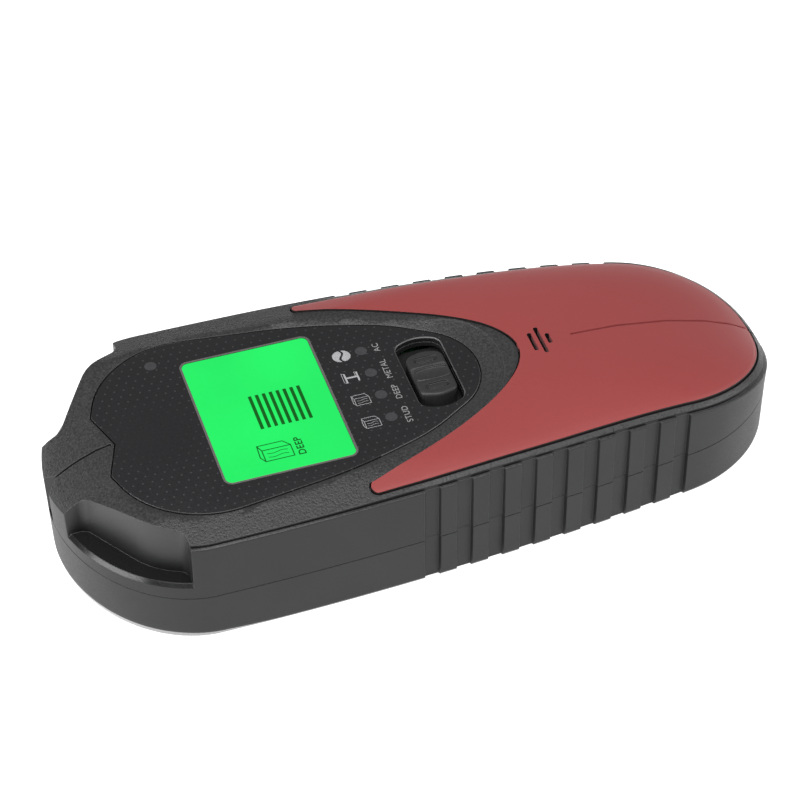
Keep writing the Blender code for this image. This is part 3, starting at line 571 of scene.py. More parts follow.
def top_groove(name, y0, y1, lift, steps):
    """Narrow cut along the centre line, following the crown."""
    rings = []
    for k in range(steps + 1):
        y = y0 + (y1 - y0) * k / steps
        z = crown(0.0, max(TAIL_Y, min(TIP_Y, y))) + lift
        low, high = z - GROOVE_DEPTH, z + 0.5
        rings.append([(-GROOVE_TOP_HALF, y, high), (-GROOVE_FLOOR_HALF, y, low),
                      (GROOVE_FLOOR_HALF, y, low), (GROOVE_TOP_HALF, y, high)])
    return ring_stack(name, rings)


# ======== housing pieces ========

def chamfer_height(y):
    """Height of the rolled bottom edge."""
    return CHAMFER_HEIGHT + CHAMFER_GROWTH * ramp(y, 40.0, 65.0)


def build_base():
    """Lower shell with a rolled bottom edge, ribs, screw wells and the battery opening."""
    face = PARTING_Z - PARTING_GAP / 2
    rings = []
    for k in range(5):
        angle = math.radians(90.0) * k / 4
        inset = BOTTOM_INSET + CHAMFER * (1.0 - math.sin(angle))
        rise = 1.0 - math.cos(angle)
        rings.append([(x, y, chamfer_height(y) * rise) for x, y in outline(inset)])
    rings.append([(x, y, face - 0.12) for x, y in outline(PARTING_INSET)])
    rings.append([(x, y, face) for x, y in outline(PARTING_INSET + 0.08)])
    shell = ring_stack("housing_base", rings)
    boolean(shell, [prism("lip", outline(3.0, HOLLOW_NOSE), 8.0, LIP_TOP)], "UNION")
    hollow = []
    for inset, z, nose in ((WALL, FLOOR_T, 0.0), (WALL, 9.6, 0.0), (LIP_INSET, 10.6, HOLLOW_NOSE),
                           (LIP_INSET, LIP_TOP + 1.0, HOLLOW_NOSE)):
        hollow.append([(x, y, z) for x, y in outline(inset, nose)])
    boolean(shell, [ring_stack("hollow", hollow), rib_cutter()])
    bosses = []
    holes = []
    for x, y in CASE_SCREWS:
        bosses.append(cylinder("boss", x, y, BOSS_RADIUS, 1.0, face))
        holes.append(cylinder("bore", x, y, BORE_RADIUS, -1.0, LIP_TOP + 1.0))
        holes.append(cylinder("counterbore", x, y, HEAD_RADIUS, -1.0, 3.0))
    for side in (-1, 1):
        bosses.append(box("cradle", sorted(side * x for x in CRADLE_X), CRADLE_Y, (1.0, 9.0)))
    boolean(shell, bosses, "UNION")
    opening = box("door_opening", (DOOR_LOW.x - GAP, DOOR_HIGH.x + GAP),
                  (DOOR_LOW.y - GAP, DOOR_HIGH.y + GAP), (-1.0, FLOOR_T + 1.0))
    boolean(shell, holes + [opening])
    return shell


def build_top():
    """Upper shell: wall, ledge, shadow groove and the crowned band and skin with its pockets."""
    face = PARTING_Z + PARTING_GAP / 2
    low_wall = [[(x, y, face) for x, y in outline(PARTING_INSET + 0.08)],
                [(x, y, face + 0.12) for x, y in outline(PARTING_INSET)]]
    rolled = []
    for inset, drop, groove in (
            (0.0, 0.42, 0.0), (0.06, 0.28, 0.0), (0.2, 0.2, 0.0), (BAND_INSET - 0.34, 0.14, 0.0),
            (BAND_INSET - 0.3, 0.14, EDGE_GROOVE), (BAND_INSET - 0.04, 0.14, EDGE_GROOVE)):
        ring = []
        for x, y in outline(inset):
            fade = ramp(y, 64.0, 59.0) * ramp(y, -76.0, -62.0)
            ring.append((x, y, rim_height(x, y) - drop - groove * fade))
        rolled.append(ring)
    rolled += crown_rings(outline(BAND_INSET), (1.0,), -0.1)
    scales = (1.0, 0.985, 0.965, 0.94, 0.91, 0.87, 0.82,
              0.76, 0.68, 0.58, 0.46, 0.32, 0.18, 0.04)
    top = crown_rings(outline(BAND_INSET + 0.1), scales, 0.0)
    hollow = outline(WALL + 0.1, HOLLOW_NOSE)
    inner = crown_rings(hollow, (0.04, 0.35, 0.8, 0.93, 1.0), -SKIN)
    inner[-1] = [(x, y, max(z, face + 0.6)) for x, y, z in inner[-1]]
    inner.append([(x, y, face) for x, y in hollow])
    shell = ring_stack("housing_top", inner + low_wall + rolled + top)

    seat = offset_outline(panel_outline(), GAP)
    notch_y = TIP_Y + 1.0
    notch = [(0.0, NOTCH_APEX_Y), (NOTCH_HALF + 1.0, notch_y), (-NOTCH_HALF - 1.0, notch_y)]
    through = (UNDER_SKIN, FAR_Z)
    cuts = [
        rib_cutter(),
        top_groove("nose_groove", 67.5, 81.0, 0.0, 10),
        top_groove("tail_groove", -83.5, -76.0, 0.0, 10),
        dish_cutter(),
        prism("panel_seat", seat, PANEL_TOP - PANEL_T - GAP, FAR_Z),
        red_seat_cutter(),
        scoop_cutter(-1),
        scoop_cutter(1),
        prism("tip_notch", notch, 5.0, FAR_Z),
        box("lcd_opening", LCD_OPENING_X, LCD_OPENING_Y, through),
        prism("slide_opening", slot_outline(), *through),
    ]
    for y, half in SOUND_SLOTS:
        across = (y - SOUND_SLOT_W / 2, y + SOUND_SLOT_W / 2)
        cuts.append(box("sound_slot", (-half, half), across, through))
    hole = button_outline(GAP)
    cuts.append(ring_stack("button_hole", [button_ring(hole, x) for x in (25.0, FAR_X)]))
    boolean(shell, cuts)
    return shell


def red_blank(name, inset, bottom, top):
    """Crowned slab over the whole body with a rolled upper edge; without a top it runs on upwards."""
    base = outline(inset)
    scales = (0.04, 0.2, 0.4, 0.6, 0.75, 0.87, 0.95, 1.0)
    rings = crown_rings(base, scales, bottom)
    if top is None:
        rings.append([(x, y, FAR_Z) for x, y in base])
        return ring_stack(name, rings)
    for shrink, drop in ((0.0, 0.4), (0.07, 0.2), (0.2, 0.07), (0.4, 0.0)):
        ring = []
        for (x, y), (rim_x, rim_y) in zip(outline(inset + shrink), base):
            ring.append((x, y, crown(rim_x, rim_y) + top - drop))
        rings.append(ring)
    rings += crown_rings(outline(inset + 0.8), tuple(reversed(scales)), top)
    return ring_stack(name, rings)


def red_seat_cutter():
    seat = red_blank("red_seat", RED_INSET - RED_GAP, RED_RAISE - RED_T - GAP, None)
    boolean(seat, [prism("front", red_front(), 0.0, FAR_Z + 15.0)])
    return seat


def build_red_cover():
    cover = red_blank("grip_cover", RED_INSET, RED_RAISE - RED_T, RED_RAISE)
    cuts = [prism("front", red_front(-RED_GAP), 0.0, FAR_Z + 15.0)]
    for y, half in SOUND_SLOTS:
        w = SOUND_SLOT_W / 2
        plan = rounded_rectangle(-half, half, y - w, y + w, 0.45, 6)
        cuts.append(prism("sound_slot", plan, UNDER_SKIN, FAR_Z))
    cuts.append(top_groove("groove", TAIL_Y + 0.5, GROOVE_START, RED_RAISE, 24))
    boolean(cover, cuts)
    return cover


def rolled_prism(name, points, z0, z1, radius, steps=3):
    """Extrusion whose top rim is rolled over with the given radius."""
    rings = [[(x, y, z0) for x, y in points]]
    for k in range(steps + 1):
        angle = math.radians(90.0) * k / steps
        shrink = radius * (1.0 - math.cos(angle))
        loop = offset_outline(points, -shrink) if shrink > 0.0 else points
        rings.append([(x, y, z1 - radius + radius * math.sin(angle)) for x, y in loop])
    return ring_stack(name, rings)


def flared_cutter(name, points, z0, z1, radius):
    """Opening cutter whose upper end opens out, leaving a chamfered lip at z1."""
    rings = []
    for grow, z in ((0.0, z0), (0.0, z1 - radius), (radius, z1), (radius + 0.5, z1 + 0.5)):
        loop = offset_outline(points, grow) if grow else points
        rings.append([(x, y, z) for x, y in loop])
    return ring_stack(name, rings)


def lcd_plan(grow):
    """Rounded outline of the display, grown on every side."""
    return rounded_rectangle(LCD_LOW.x - grow, LCD_HIGH.x + grow, LCD_LOW.y - grow, LCD_HIGH.y + grow,
                             LCD_RADIUS + grow, 8)


def build_panel():
    panel = rolled_prism("display_panel", panel_outline(), PANEL_TOP - PANEL_T, PANEL_TOP, 0.22)
    boolean(panel, [prism("window", lcd_plan(GAP), UNDER_SKIN, FAR_Z),
                    flared_cutter("slot", slot_outline(), UNDER_SKIN, PANEL_TOP, 0.2)])
    return panel


# ======== knob and button ========

def build_knob():
    """Slide knob and skirt: a saddle between curved ridges and a ring-shaped well each side."""
    low, high = [Vector(corner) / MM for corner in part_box("mode_slide_knob")]
    centre_y = (low.y + high.y) / 2.0
    centre_x = low.x + KNOB_FROM_LOW_X
    x0, x1 = centre_x - KNOB_HALF_X, centre_x + KNOB_HALF_X
    y0, y1 = centre_y - KNOB_HALF_Y, centre_y + KNOB_HALF_Y
    corners = [(x0 + 0.8, y0, 2.0), (x1 - 0.8, y0, 2.0), (x1 + 0.5, centre_y, 6.0),
               (x1 - 0.8, y1, 2.0), (x0 + 0.8, y1, 2.0), (x0 - 0.5, centre_y, 6.0)]
    knob = rolled_prism("slide_knob", rounded_polygon(corners, 8), SKIRT_TOP - 0.9, high.z, 0.7, 4)
    saddle = []
    for y in (y0 - 2.0, y1 + 2.0):
        arc = circle(0.0, high.z + SADDLE_RISE, SADDLE_RADIUS, 160)
        saddle.append([(centre_x + a, y, b) for a, b in arc])
    boolean(knob, [ring_stack("saddle", saddle)])
    wells = []
    additions = []
    for side in (-1, 1):
        cx = centre_x + side * WELL_X
        well = rounded_rectangle(cx - WELL_HALF_X, cx + WELL_HALF_X,
                                 centre_y - WELL_HALF_Y, centre_y + WELL_HALF_Y, 1.0, 8)
        wells.append(prism("well", well, high.z - 0.4, high.z + 3.0))
        additions.append(prism("island", offset_outline(well, -0.55), high.z - 0.6, high.z - 0.12))
    boolean(knob, wells)
    for side in (-1, 1):
        ridge_x = centre_x + side * RIDGE_X
        additions.append(arc_ridge(ridge_x, centre_y, side, KNOB_HALF_Y - 0.5, high.z - 0.3))
    boolean(knob, additions, "UNION")
    remesh_soft(knob, 0.08, 1)
    plan = rounded_rectangle(low.x, high.x, low.y, high.y, 1.0, 4)
    skirt = rolled_prism("slide_skirt", plan, low.z, SKIRT_TOP, 0.3)
    return knob, skirt


def arc_ridge(x, y, side, half, z):
    """Low rounded bead across the knob, bowed towards its end."""
    rings = []
    for k in range(13):
        t = -1.0 + 2.0 * k / 12
        cx = x + side * 0.5 * (1.0 - t * t)
        rings.append([(cx + a, y + t * half, z + b) for a, b in circle(0.0, 0.0, 0.26, 10)])
    return ring_stack("ridge", rings)


def button_outline(grow):
    """Stadium outline of the power button in Y and Z, round its centre."""
    half_y, half_z = BUTTON_HALF_Y + grow, BUTTON_HALF_Z + grow
    return rounded_rectangle(-half_y, half_y, -half_z, half_z, half_z - 0.02, 10)


def button_ring(points, x, shift=0.0):
    """Ring at x from points round the button's centre, shifted along Y."""
    return [(x, BUTTON_Y + shift + a, BUTTON_Z + b) for a, b in points]


def build_button():
    """Power button: domed stadium with three finger bars, on its hidden flange."""
    low, high = [Vector(corner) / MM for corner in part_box("power_button")]
    plan = button_outline(0.0)
    rings = []
    for x, shrink in ((low.x + 0.4, 0.0), (high.x - 0.55, 0.0), (high.x - 0.3, 0.08),
                      (high.x - 0.1, 0.28), (high.x - 0.02, 0.6), (high.x - 0.1, 1.0),
                      (high.x - 0.2, 1.6)):
        rings.append(button_ring(offset_outline(plan, -shrink) if shrink else plan, x))
    button = ring_stack("power_key", rings)
    extras = [box("flange", (low.x, 31.0), (low.y, high.y), (low.z, high.z))]
    bar = rounded_rectangle(-0.35, 0.35, -1.1, 1.1, 0.3, 5)
    for k in (-1, 0, 1):
        rings = [button_ring(bar, x, BUTTON_BAR_PITCH * k) for x in (high.x - 1.0, high.x - 0.05)]
        extras.append(ring_stack("bar", rings))
    join(button, extras)
    return button


# ======== printed marks ========

def ribbon(bm, points, width, z, closed=False):
    """Flat printed line of even width along a polyline."""
    count = len(points)
    left = []
    right = []
    for i in range(count):
        here = Vector(points[i])
        before = Vector(points[i - 1]) if (i or closed) else here
        after = Vector(points[(i + 1) % count]) if (i < count - 1 or closed) else here
        into = here - before
        onward = after - here
        first = into.normalized() if into.length else onward.normalized()
        second = onward.normalized() if onward.length else first
        n1 = Vector((-first.y, first.x))
        n2 = Vector((-second.y, second.x))
        bisector = (n1 + n2).normalized()
        reach = width / 2.0 / max(0.5, bisector.dot(n1))
        left.append(bm.verts.new((here.x + bisector.x * reach, here.y + bisector.y * reach, z)))
        right.append(bm.verts.new((here.x - bisector.x * reach, here.y - bisector.y * reach, z)))
    for i in range(count if closed else count - 1):
        j = (i + 1) % count
        bm.faces.new((right[i], right[j], left[j], left[i]))


def patch(bm, points, z):
    """Flat printed area."""
    bm.faces.new([bm.verts.new((x, y, z)) for x, y in points])


def words(bm, text, x, y, size, z, weight=0.02):
    """Flat lettering centred on (x, y)."""
    curve = bpy.data.curves.new("words", "FONT")
    curve.body = text
    curve.size = size
    curve.align_x = "CENTER"
    curve.align_y = "CENTER"
    curve.space_character = 1.08
    curve.offset = weight
    obj = add_object("words", curve)
    mesh = evaluated_mesh(obj)
    mesh.transform(Matrix.Translation((x, y, z)))
    bm.from_mesh(mesh)
    bpy.data.meshes.remove(mesh)
    bpy.data.objects.remove(obj)


def stud_icon(bm, x, y, width, height, line, z):
    """Outline of a standing timber: front, side and top faces with grain lines."""
    front_w = 0.68 * width
    lift = 0.12 * height
    x0, x1, x2 = x, x + front_w, x + width
    y0, y1 = y, y + height - lift
    ribbon(bm, [(x0, y0), (x1, y0), (x1, y1), (x0, y1)], line, z, True)
    ribbon(bm, [(x1, y0), (x2, y0 + 1.6 * lift), (x2, y1 + lift * 0.8), (x1, y1)], line, z)
    ribbon(bm, [(x2, y1 + lift * 0.8), (x0 + 0.42 * front_w, y1 + lift), (x0, y1)], line, z)
    for k in (1, 2):
        gx = x0 + front_w * k / 3
        wave = []
        for step in range(7):
            sway = 0.045 * width * math.sin(2.0 * math.pi * step / 6)
            wave.append((gx + sway, y0 + (y1 - y0) * (0.14 + 0.12 * step)))
        ribbon(bm, wave, line * 0.7, z)


def beam_icon(bm, x, y, z):
    """I-beam with its upper and lower flanges seen a little from one end."""
    patch(bm, rounded_rectangle(x - 1.55, x + 1.55, y + 1.0, y + 1.4, 0.05, 2), z)
    patch(bm, rounded_rectangle(x - 1.45, x + 1.45, y - 1.75, y - 1.35, 0.05, 2), z)
    patch(bm, rounded_rectangle(x - 0.25, x + 0.25, y - 1.35, y + 1.0, 0.02, 2), z)
    upper = [(x - 1.55, y + 1.4), (x - 1.2, y + 1.8), (x + 1.7, y + 1.8), (x + 1.55, y + 1.4)]
    lower = [(x + 0.25, y - 1.1), (x + 1.5, y - 1.05), (x + 1.45, y - 1.35)]
    ribbon(bm, upper, THIN_LINE, z)
    ribbon(bm, lower, THIN_LINE, z)


def build_prints():
    """Mode words, icons, lamp dots and the line round the display."""
    z = PANEL_TOP + PRINT_LIFT
    bm = bmesh.new()
    pipes = [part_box("mode_light_pipe_%d" % (index + 1)) for index in range(4)]
    for low, high in pipes + [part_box("warning_light_pipe")]:
        x, y = (low[0] + high[0]) / 2 / MM, (low[1] + high[1]) / 2 / MM
        patch(bm, circle(x, y, LAMP_RADIUS, 32), z)
    finish_piece(make_object("lamp_dots", bm), LAMP_DOT, "housing", "front_panel")

    bm = bmesh.new()
    for text, x in MODE_WORDS:
        words(bm, text, x, LABEL_Y, LABEL_SIZE, z)
    finish_piece(make_object("mode_words", bm), INK_GREY, "housing", "front_panel")

    bm = bmesh.new()
    for x in STUD_ICON_X:
        stud_icon(bm, x, STUD_ICON_Y, 3.2, 3.8, 0.13, z)
    beam_icon(bm, BEAM_X, ICON_Y, z)
    for side in (-1, 1):
        patch(bm, wave_half(WAVE_X, ICON_Y, side), z)
    finish_piece(make_object("mode_icons", bm), INK_WHITE, "housing", "front_panel")

    bm = bmesh.new()
    ribbon(bm, offset_outline(lcd_plan(0.0), 0.27), 0.5, z, True)
    finish_piece(make_object("display_border", bm), BORDER_GREY, "housing", "front_panel")


def wave_half(cx, cy, side):
    """Half a disc whose straight side is an S-shaped wave; the two halves leave a wavy gap."""
    radius = WAVE_RADIUS
    edge = side * WAVE_GAP / 2
    points = []
    for k in range(25):
        angle = math.radians(180.0 * k / 24)
        points.append((cx + radius * math.cos(angle), cy + edge + side * radius * math.sin(angle)))
    for k in range(1, 24):
        t = -1.0 + 2.0 * k / 24
        points.append((cx + t * radius, cy + edge - 0.42 * math.sin(math.pi * t)))
    return points if side > 0 else list(reversed(points))


def build_display():
    """Lit green display with its dark segments."""
    face = rolled_prism("display_face", lcd_plan(0.0), LCD_LOW.z, LCD_HIGH.z, 0.15)
    finish_piece(face, LCD_GREEN, "housing", "lcd_glass", "lcd_window", "lcd_glass")
    z = LCD_HIGH.z + PRINT_LIFT
    bm = bmesh.new()
    x0, x1 = SEGMENT_X
    for k in range(SEGMENT_COUNT):
        y = SEGMENT_START_Y + SEGMENT_PITCH * k
        y0, y1 = y - SEGMENT_HALF, y + SEGMENT_HALF
        patch(bm, [(x0, y0), (x1, y0), (x1, y1), (x0, y1)], z)
    stud_icon(bm, -15.6, 31.3, 5.0, 7.2, 0.24, z)
    words(bm, "DEEP", -13.2, 29.4, 2.3, z, 0.05)
    finish_piece(make_object("display_segments", bm), LCD_SEGMENT, "housing", "lcd_glass")


# ======== materials ========

def feed(tree, node, inputs):
    """Set a node's inputs, each to a value or to another node's output."""
    for key, value in inputs.items():
        if isinstance(value, bpy.types.NodeSocket):
            tree.links.new(value, node.inputs[key])
        else:
            node.inputs[key].default_value = value


def add_node(tree, kind, inputs, **settings):
    node = tree.nodes.new("ShaderNode" + kind)
    for name, value in settings.items():
        setattr(node, name, value)
    feed(tree, node, inputs)
    return node


def shader_parts(material):
    """Node tree, main shader and the object coordinates of a material."""
    tree = material.node_tree
    place = add_node(tree, "TexCoord", {}).outputs["Object"]
    return tree, tree.nodes["Principled BSDF"], place


def noise(tree, place, scale, detail, stretch=None):
    """Noise texture; stretch scales the axes separately."""
    if stretch:
        place = add_node(tree, "Mapping", {"Vector": place, "Scale": stretch}).outputs["Vector"]
    inputs = {"Vector": place, "Scale": scale, "Detail": detail}
    return add_node(tree, "TexNoise", inputs).outputs["Fac"]


def spread(tree, value, low, high, start=0.3, end=0.7):
    """Map a value between start and end to the range from low to high."""
    inputs = {"Value": value, "From Min": start, "From Max": end, "To Min": low, "To Max": high}
    return add_node(tree, "MapRange", inputs).outputs["Result"]


def math_node(tree, operation, first, second):
    return add_node(tree, "Math", {0: first, 1: second}, operation=operation).outputs["Value"]


def vector_math(tree, operation, first, second=(0.0, 0.0, 0.0)):
    node = add_node(tree, "VectorMath", {0: first, 1: second}, operation=operation)
    return node.outputs["Value" if operation in ("LENGTH", "DOT_PRODUCT") else "Vector"]


def blend_colours(tree, factor, *colours):
    """Mix two colours, each a tuple or another node's output."""
    first, second = [(*c, 1.0) if isinstance(c, tuple) else c for c in colours]
    inputs = {"Factor": factor, 6: first, 7: second}
    return add_node(tree, "Mix", inputs, data_type="RGBA").outputs[2]


def overlay(tree, shader, factor, colour):
    """Mix a colour over whatever already feeds the base colour."""
    under = shader.inputs["Base Color"].links[0].from_socket
    feed(tree, shader, {"Base Color": blend_colours(tree, factor, under, colour)})


def shade(colour, factor):
    return tuple(min(1.0, c * factor) for c in colour)


def mottle(tree, factor, colour, tint):
    """Colour that varies by the given share either way."""
    return blend_colours(tree, spread(tree, factor, 0.0, 1.0), shade(colour, 1.0 - tint),
                         shade(colour, 1.0 + tint))


def surface(name, colour, roughness, grain=2500.0, bump=0.2, depth=0.04, tint=0.12,
            rough_spread=0.06, metallic=0.0, edge_radius=0.25, edge_highlight=1.25, coat=0.0,
            stretch=None, specular=0.5, sheen=0.0):
    """Grained surface: colour, roughness and bump vary finely; edges are rounded, and their colour is
    lightened as a painted highlight.
    """
    material = bpy.data.materials.new(name)
    material.use_nodes = True
    tree, shader, place = shader_parts(material)
    fine = noise(tree, place, grain, 3.0, stretch)
    patches = spread(tree, noise(tree, place, 70.0, 2.0), -0.03, 0.03)
    rough = spread(tree, fine, roughness - rough_spread, roughness + rough_spread)
    rounded = add_node(tree, "Bevel", {"Radius": edge_radius * MM}, samples=4).outputs["Normal"]
    flat = add_node(tree, "NewGeometry", {}).outputs["Normal"]
    # painted highlight: the base colour is lightened along edges, where the rounded normal turns away
    # from the flat one
    edge_highlight_mask = spread(tree, vector_math(tree, "DOT_PRODUCT", rounded, flat), 1.0, 0.0, 0.8, 0.995)
    highlighted_colour = blend_colours(tree, edge_highlight_mask, mottle(tree, fine, colour, tint), shade(colour, edge_highlight))
    relief = add_node(tree, "Bump", {"Strength": bump, "Distance": depth * MM, "Height": fine,
                                     "Normal": rounded})
    feed(tree, shader, {
        "Base Color": highlighted_colour, "Roughness": math_node(tree, "ADD", rough, patches),
        "Metallic": metallic, "Specular IOR Level": specular, "Sheen Weight": sheen,
        "Coat Weight": coat, "Normal": relief.outputs["Normal"],
    })
    return material


def glowing(name, colour, base):
    """Backlit display surface whose glow drifts slightly across it."""
    material = surface(name, base, 0.3, grain=900.0, bump=0.05, edge_radius=0.1, specular=0.2)
    tree, shader, place = shader_parts(material)
    glow = mottle(tree, noise(tree, place, 45.0, 1.0), colour, 0.06)
    feed(tree, shader, {"Emission Color": glow, "Emission Strength": 1.0})
    return material


def paint_shade_low(material, dark, z0, z1):
    """Painted shade: blend the base colour to dark from height z1 down to z0."""
    tree, shader, place = shader_parts(material)
    height = add_node(tree, "SeparateXYZ", {"Vector": place}).outputs["Z"]
    overlay(tree, shader, spread(tree, height, 1.0, 0.0, z0 * MM, z1 * MM), dark)


def dotted_panel(name, colour, dot_colour):
    """Black film with a fine staggered dot print that fades out over the middle of the nose end."""
    material = surface(name, colour, 0.34, grain=1800.0, bump=0.06, tint=0.06, edge_radius=0.2, edge_highlight=3.0)
    tree, shader, place = shader_parts(material)
    cell = (3.9 * MM, 2.1 * MM, 1.0)
    dots = []
    for phase in (0.0, 0.5):
        scaled = vector_math(tree, "DIVIDE", place, cell)
        shifted = vector_math(tree, "ADD", scaled, (phase, phase, 0.0))
        within = vector_math(tree, "FRACTION", shifted)
        centred = vector_math(tree, "SUBTRACT", within, (0.5, 0.5, 0.0))
        flat = vector_math(tree, "MULTIPLY", centred, (cell[0], cell[1], 0.0))
        length = vector_math(tree, "LENGTH", flat)
        dots.append(spread(tree, length, 1.0, 0.0, 0.13 * MM, 0.27 * MM))
    away = vector_math(tree, "SUBTRACT", place, (0.0, 58.0 * MM, PANEL_TOP * MM))
    fade = spread(tree, vector_math(tree, "LENGTH", away), 0.0, 1.0, 5.0 * MM, 13.0 * MM)
    printed = math_node(tree, "MULTIPLY", math_node(tree, "MAXIMUM", *dots), fade)
    overlay(tree, shader, printed, dot_colour)
    return material


def circuit_board(name):
    """Green solder mask with faint tracks."""
    material = surface(name, (0.015, 0.11, 0.035), 0.35, grain=900.0, bump=0.1, coat=0.3)
    tree, shader, place = shader_parts(material)
    tracks = add_node(tree, "TexBrick", {"Vector": place, "Scale": 260.0, "Mortar Size": 0.03})
    overlay(tree, shader, tracks.outputs["Fac"], (0.03, 0.2, 0.07))
    return material


# ======== build ========

TOP_SKIN = surface("top_skin", (0.030, 0.030, 0.031), 0.40, grain=2000.0, bump=1.0, depth=0.14,
                   tint=0.35, rough_spread=0.14, edge_radius=0.3, edge_highlight=2.6, specular=0.55)
SIDE_WALL = surface("side_wall", (0.0135, 0.0135, 0.014), 0.46, grain=2600.0, bump=0.3, depth=0.05,
                    edge_radius=0.3, edge_highlight=3.0, specular=0.29)
BASE_WALL = surface("base_wall", (0.0115, 0.0115, 0.012), 0.46, grain=2600.0, bump=0.3, depth=0.05,
                    edge_highlight=2.5, specular=0.32)
# light grey on the rolled bottom edge of the black lower shell: painted reflection of the white floor
BASE_RIM_REFLECTION = surface("base_rim_reflection", (0.24, 0.24, 0.24), 0.2, grain=2600.0, bump=0.1, depth=0.03, edge_highlight=1.3,
                   specular=0.8)
SCOOP_WALL = surface("scoop_wall", (0.027, 0.027, 0.028), 0.40, grain=2600.0, bump=0.3, depth=0.05,
                     edge_radius=0.3, edge_highlight=2.0, specular=0.4)
# painted shade at the foot of the scoop walls, darkest at the floor
paint_shade_low(SCOOP_WALL, (0.003, 0.003, 0.003), SCOOP_FLOOR - 1.0, SCOOP_FLOOR + 10.0)
# scoop floors: the lower roughness is their smoother finish; the darker colour than the shell plastic
# elsewhere is painted shade
SHADED_SCOOP_FLOOR = surface("shaded_scoop_floor", (0.009, 0.009, 0.0095), 0.22, grain=2400.0, bump=0.12, depth=0.03,
                      edge_radius=0.3, edge_highlight=3.0, specular=0.4)
RED_PAINT = surface("red_paint", (0.280, 0.040, 0.039), 0.50, grain=3200.0, bump=0.16, depth=0.03,
                    tint=0.05, edge_radius=0.12, edge_highlight=0.9, specular=0.40, sheen=0.16)
# near-black side faces of the red cover: painted shade in the gap round it
RED_EDGE_SHADE = surface("red_edge_shade", (0.012, 0.008, 0.008), 0.6, grain=3200.0, bump=0.1,
                   edge_radius=0.05, edge_highlight=1.0)
# light grey rims of the black panel: painted highlight
PANEL_EDGE_HIGHLIGHT = surface("panel_edge_highlight", (0.10, 0.10, 0.10), 0.35, grain=2400.0, bump=0.08, edge_radius=0.05)
PANEL_BLACK = dotted_panel("panel_black", (0.0125, 0.0125, 0.0138), (0.045, 0.045, 0.048))
KNOB_GREY = surface("knob_grey", (0.028, 0.028, 0.0288), 0.42, grain=3000.0, bump=0.25, edge_radius=0.12,
                    edge_highlight=2.2, specular=0.4)
KEY_GREY = surface("key_grey", (0.030, 0.030, 0.031), 0.5, grain=3000.0, bump=0.25,
                   edge_radius=0.15, edge_highlight=2.0)
LCD_GREEN = glowing("lcd_green", (0.014, 0.85, 0.130), (0.004, 0.02, 0.006))
LCD_SEGMENT = glowing("lcd_segment", (0.001, 0.10, 0.006), (0.004, 0.01, 0.004))
LAMP_DOT = surface("lamp_dot", (0.046, 0.046, 0.049), 0.3, grain=1500.0, bump=0.05, edge_radius=0.05)
INK_GREY = surface("ink_grey", (0.24, 0.24, 0.24), 0.5, grain=3000.0, bump=0.1, tint=0.2,
                   edge_radius=0.02)
INK_WHITE = surface("ink_white", (0.36, 0.36, 0.37), 0.5, grain=3000.0, bump=0.1, tint=0.15,
                    edge_radius=0.02)
BORDER_GREY = surface("border_grey", (0.11, 0.105, 0.10), 0.45, grain=3000.0, bump=0.1, edge_radius=0.02)
BLACK_PLASTIC = surface("black_plastic", (0.018, 0.018, 0.018), 0.45, grain=3500.0)


def dress(material, *names):
    """Give CAD nodes that are seen as they are their material."""
    for name in names:
        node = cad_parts[name]
        if not node.data.materials:
            node.data.materials.append(material)
        for slot in node.material_slots:
            slot.material = material


def named(word):
    return [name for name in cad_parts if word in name]


def paint(obj, choose, *materials):
    """Add materials; choose gives a face's slot from its centre and the upward part of its normal."""
    for material in materials:
        obj.data.materials.append(material)
    for face in obj.data.polygons:
        face.material_index = choose(face.center / MM, face.normal.z)


def base_slot(at, up):
    """1 on the rolled bottom edge, 0 elsewhere."""
    return 1 if at.z < chamfer_height(at.y) and -0.97 < up < -0.15 else 0


def top_slot(at, up):
    """2 on the scoop floors, 1 on the top, 3 on the scoop walls, 0 on the side wall."""
    if up > 0.6 and at.z < SCOOP_FLOOR + 0.1:
        return 2
    if up > 0.72:
        return 1
    behind_wall = half_width(min(at.y, TIP_Y)) - 1.2
    return 3 if at.y > SCOOP_END_Y - 0.1 and 4.0 < abs(at.x) < behind_wall else 0


def cover_slot(at, up):
    """1 on the steep faces away from the centre groove, which carry painted shade; 0 elsewhere."""
    return 1 if up < 0.5 and abs(at.x) > 1.0 else 0


def panel_slot(at, up):
    """1 on the sloping rims round the tail end and the slot, which carry a painted highlight; 0
    elsewhere.
    """
    return 1 if 0.2 < up < 0.96 and at.y < 14.0 else 0


dress(BASE_WALL, "battery_door")
dress(BLACK_PLASTIC, "lcd_frame", "tact_switch_body", "tact_switch_plunger", "board_connector",
      "piezo_sounder")
dress(surface("elastomer", (0.40, 0.12, 0.12), 0.75, bump=0.3, tint=0.15), *named("elastomer"))
dress(surface("light_guide", (0.62, 0.80, 0.62), 0.3, grain=1500.0, bump=0.1), "lcd_backlight")
dress(surface("slide_metal", (0.52, 0.52, 0.53), 0.32, grain=1800.0, metallic=1.0,
              stretch=(0.08, 1.0, 1.0)), "slide_switch_housing")
dress(surface("contact_brass", (0.72, 0.50, 0.20), 0.32, grain=1800.0, bump=0.15, metallic=1.0,
              stretch=(1.0, 0.1, 1.0)), "slide_switch_carriage", "piezo_disc")
dress(surface("battery_jacket", (0.07, 0.075, 0.09), 0.35, grain=900.0, bump=0.15, coat=0.4,
              stretch=(1.0, 0.1, 1.0)), "battery_9v")
dress(surface("nickel", (0.62, 0.60, 0.56), 0.26, grain=2000.0, bump=0.12, metallic=1.0),
      "crystal", *named("terminal"))
dress(surface("vinyl", (0.018, 0.018, 0.018), 0.6, grain=2200.0, bump=0.35), "battery_snap")
dress(surface("wire_red", (0.45, 0.02, 0.02), 0.5, bump=0.15), "battery_lead_red")
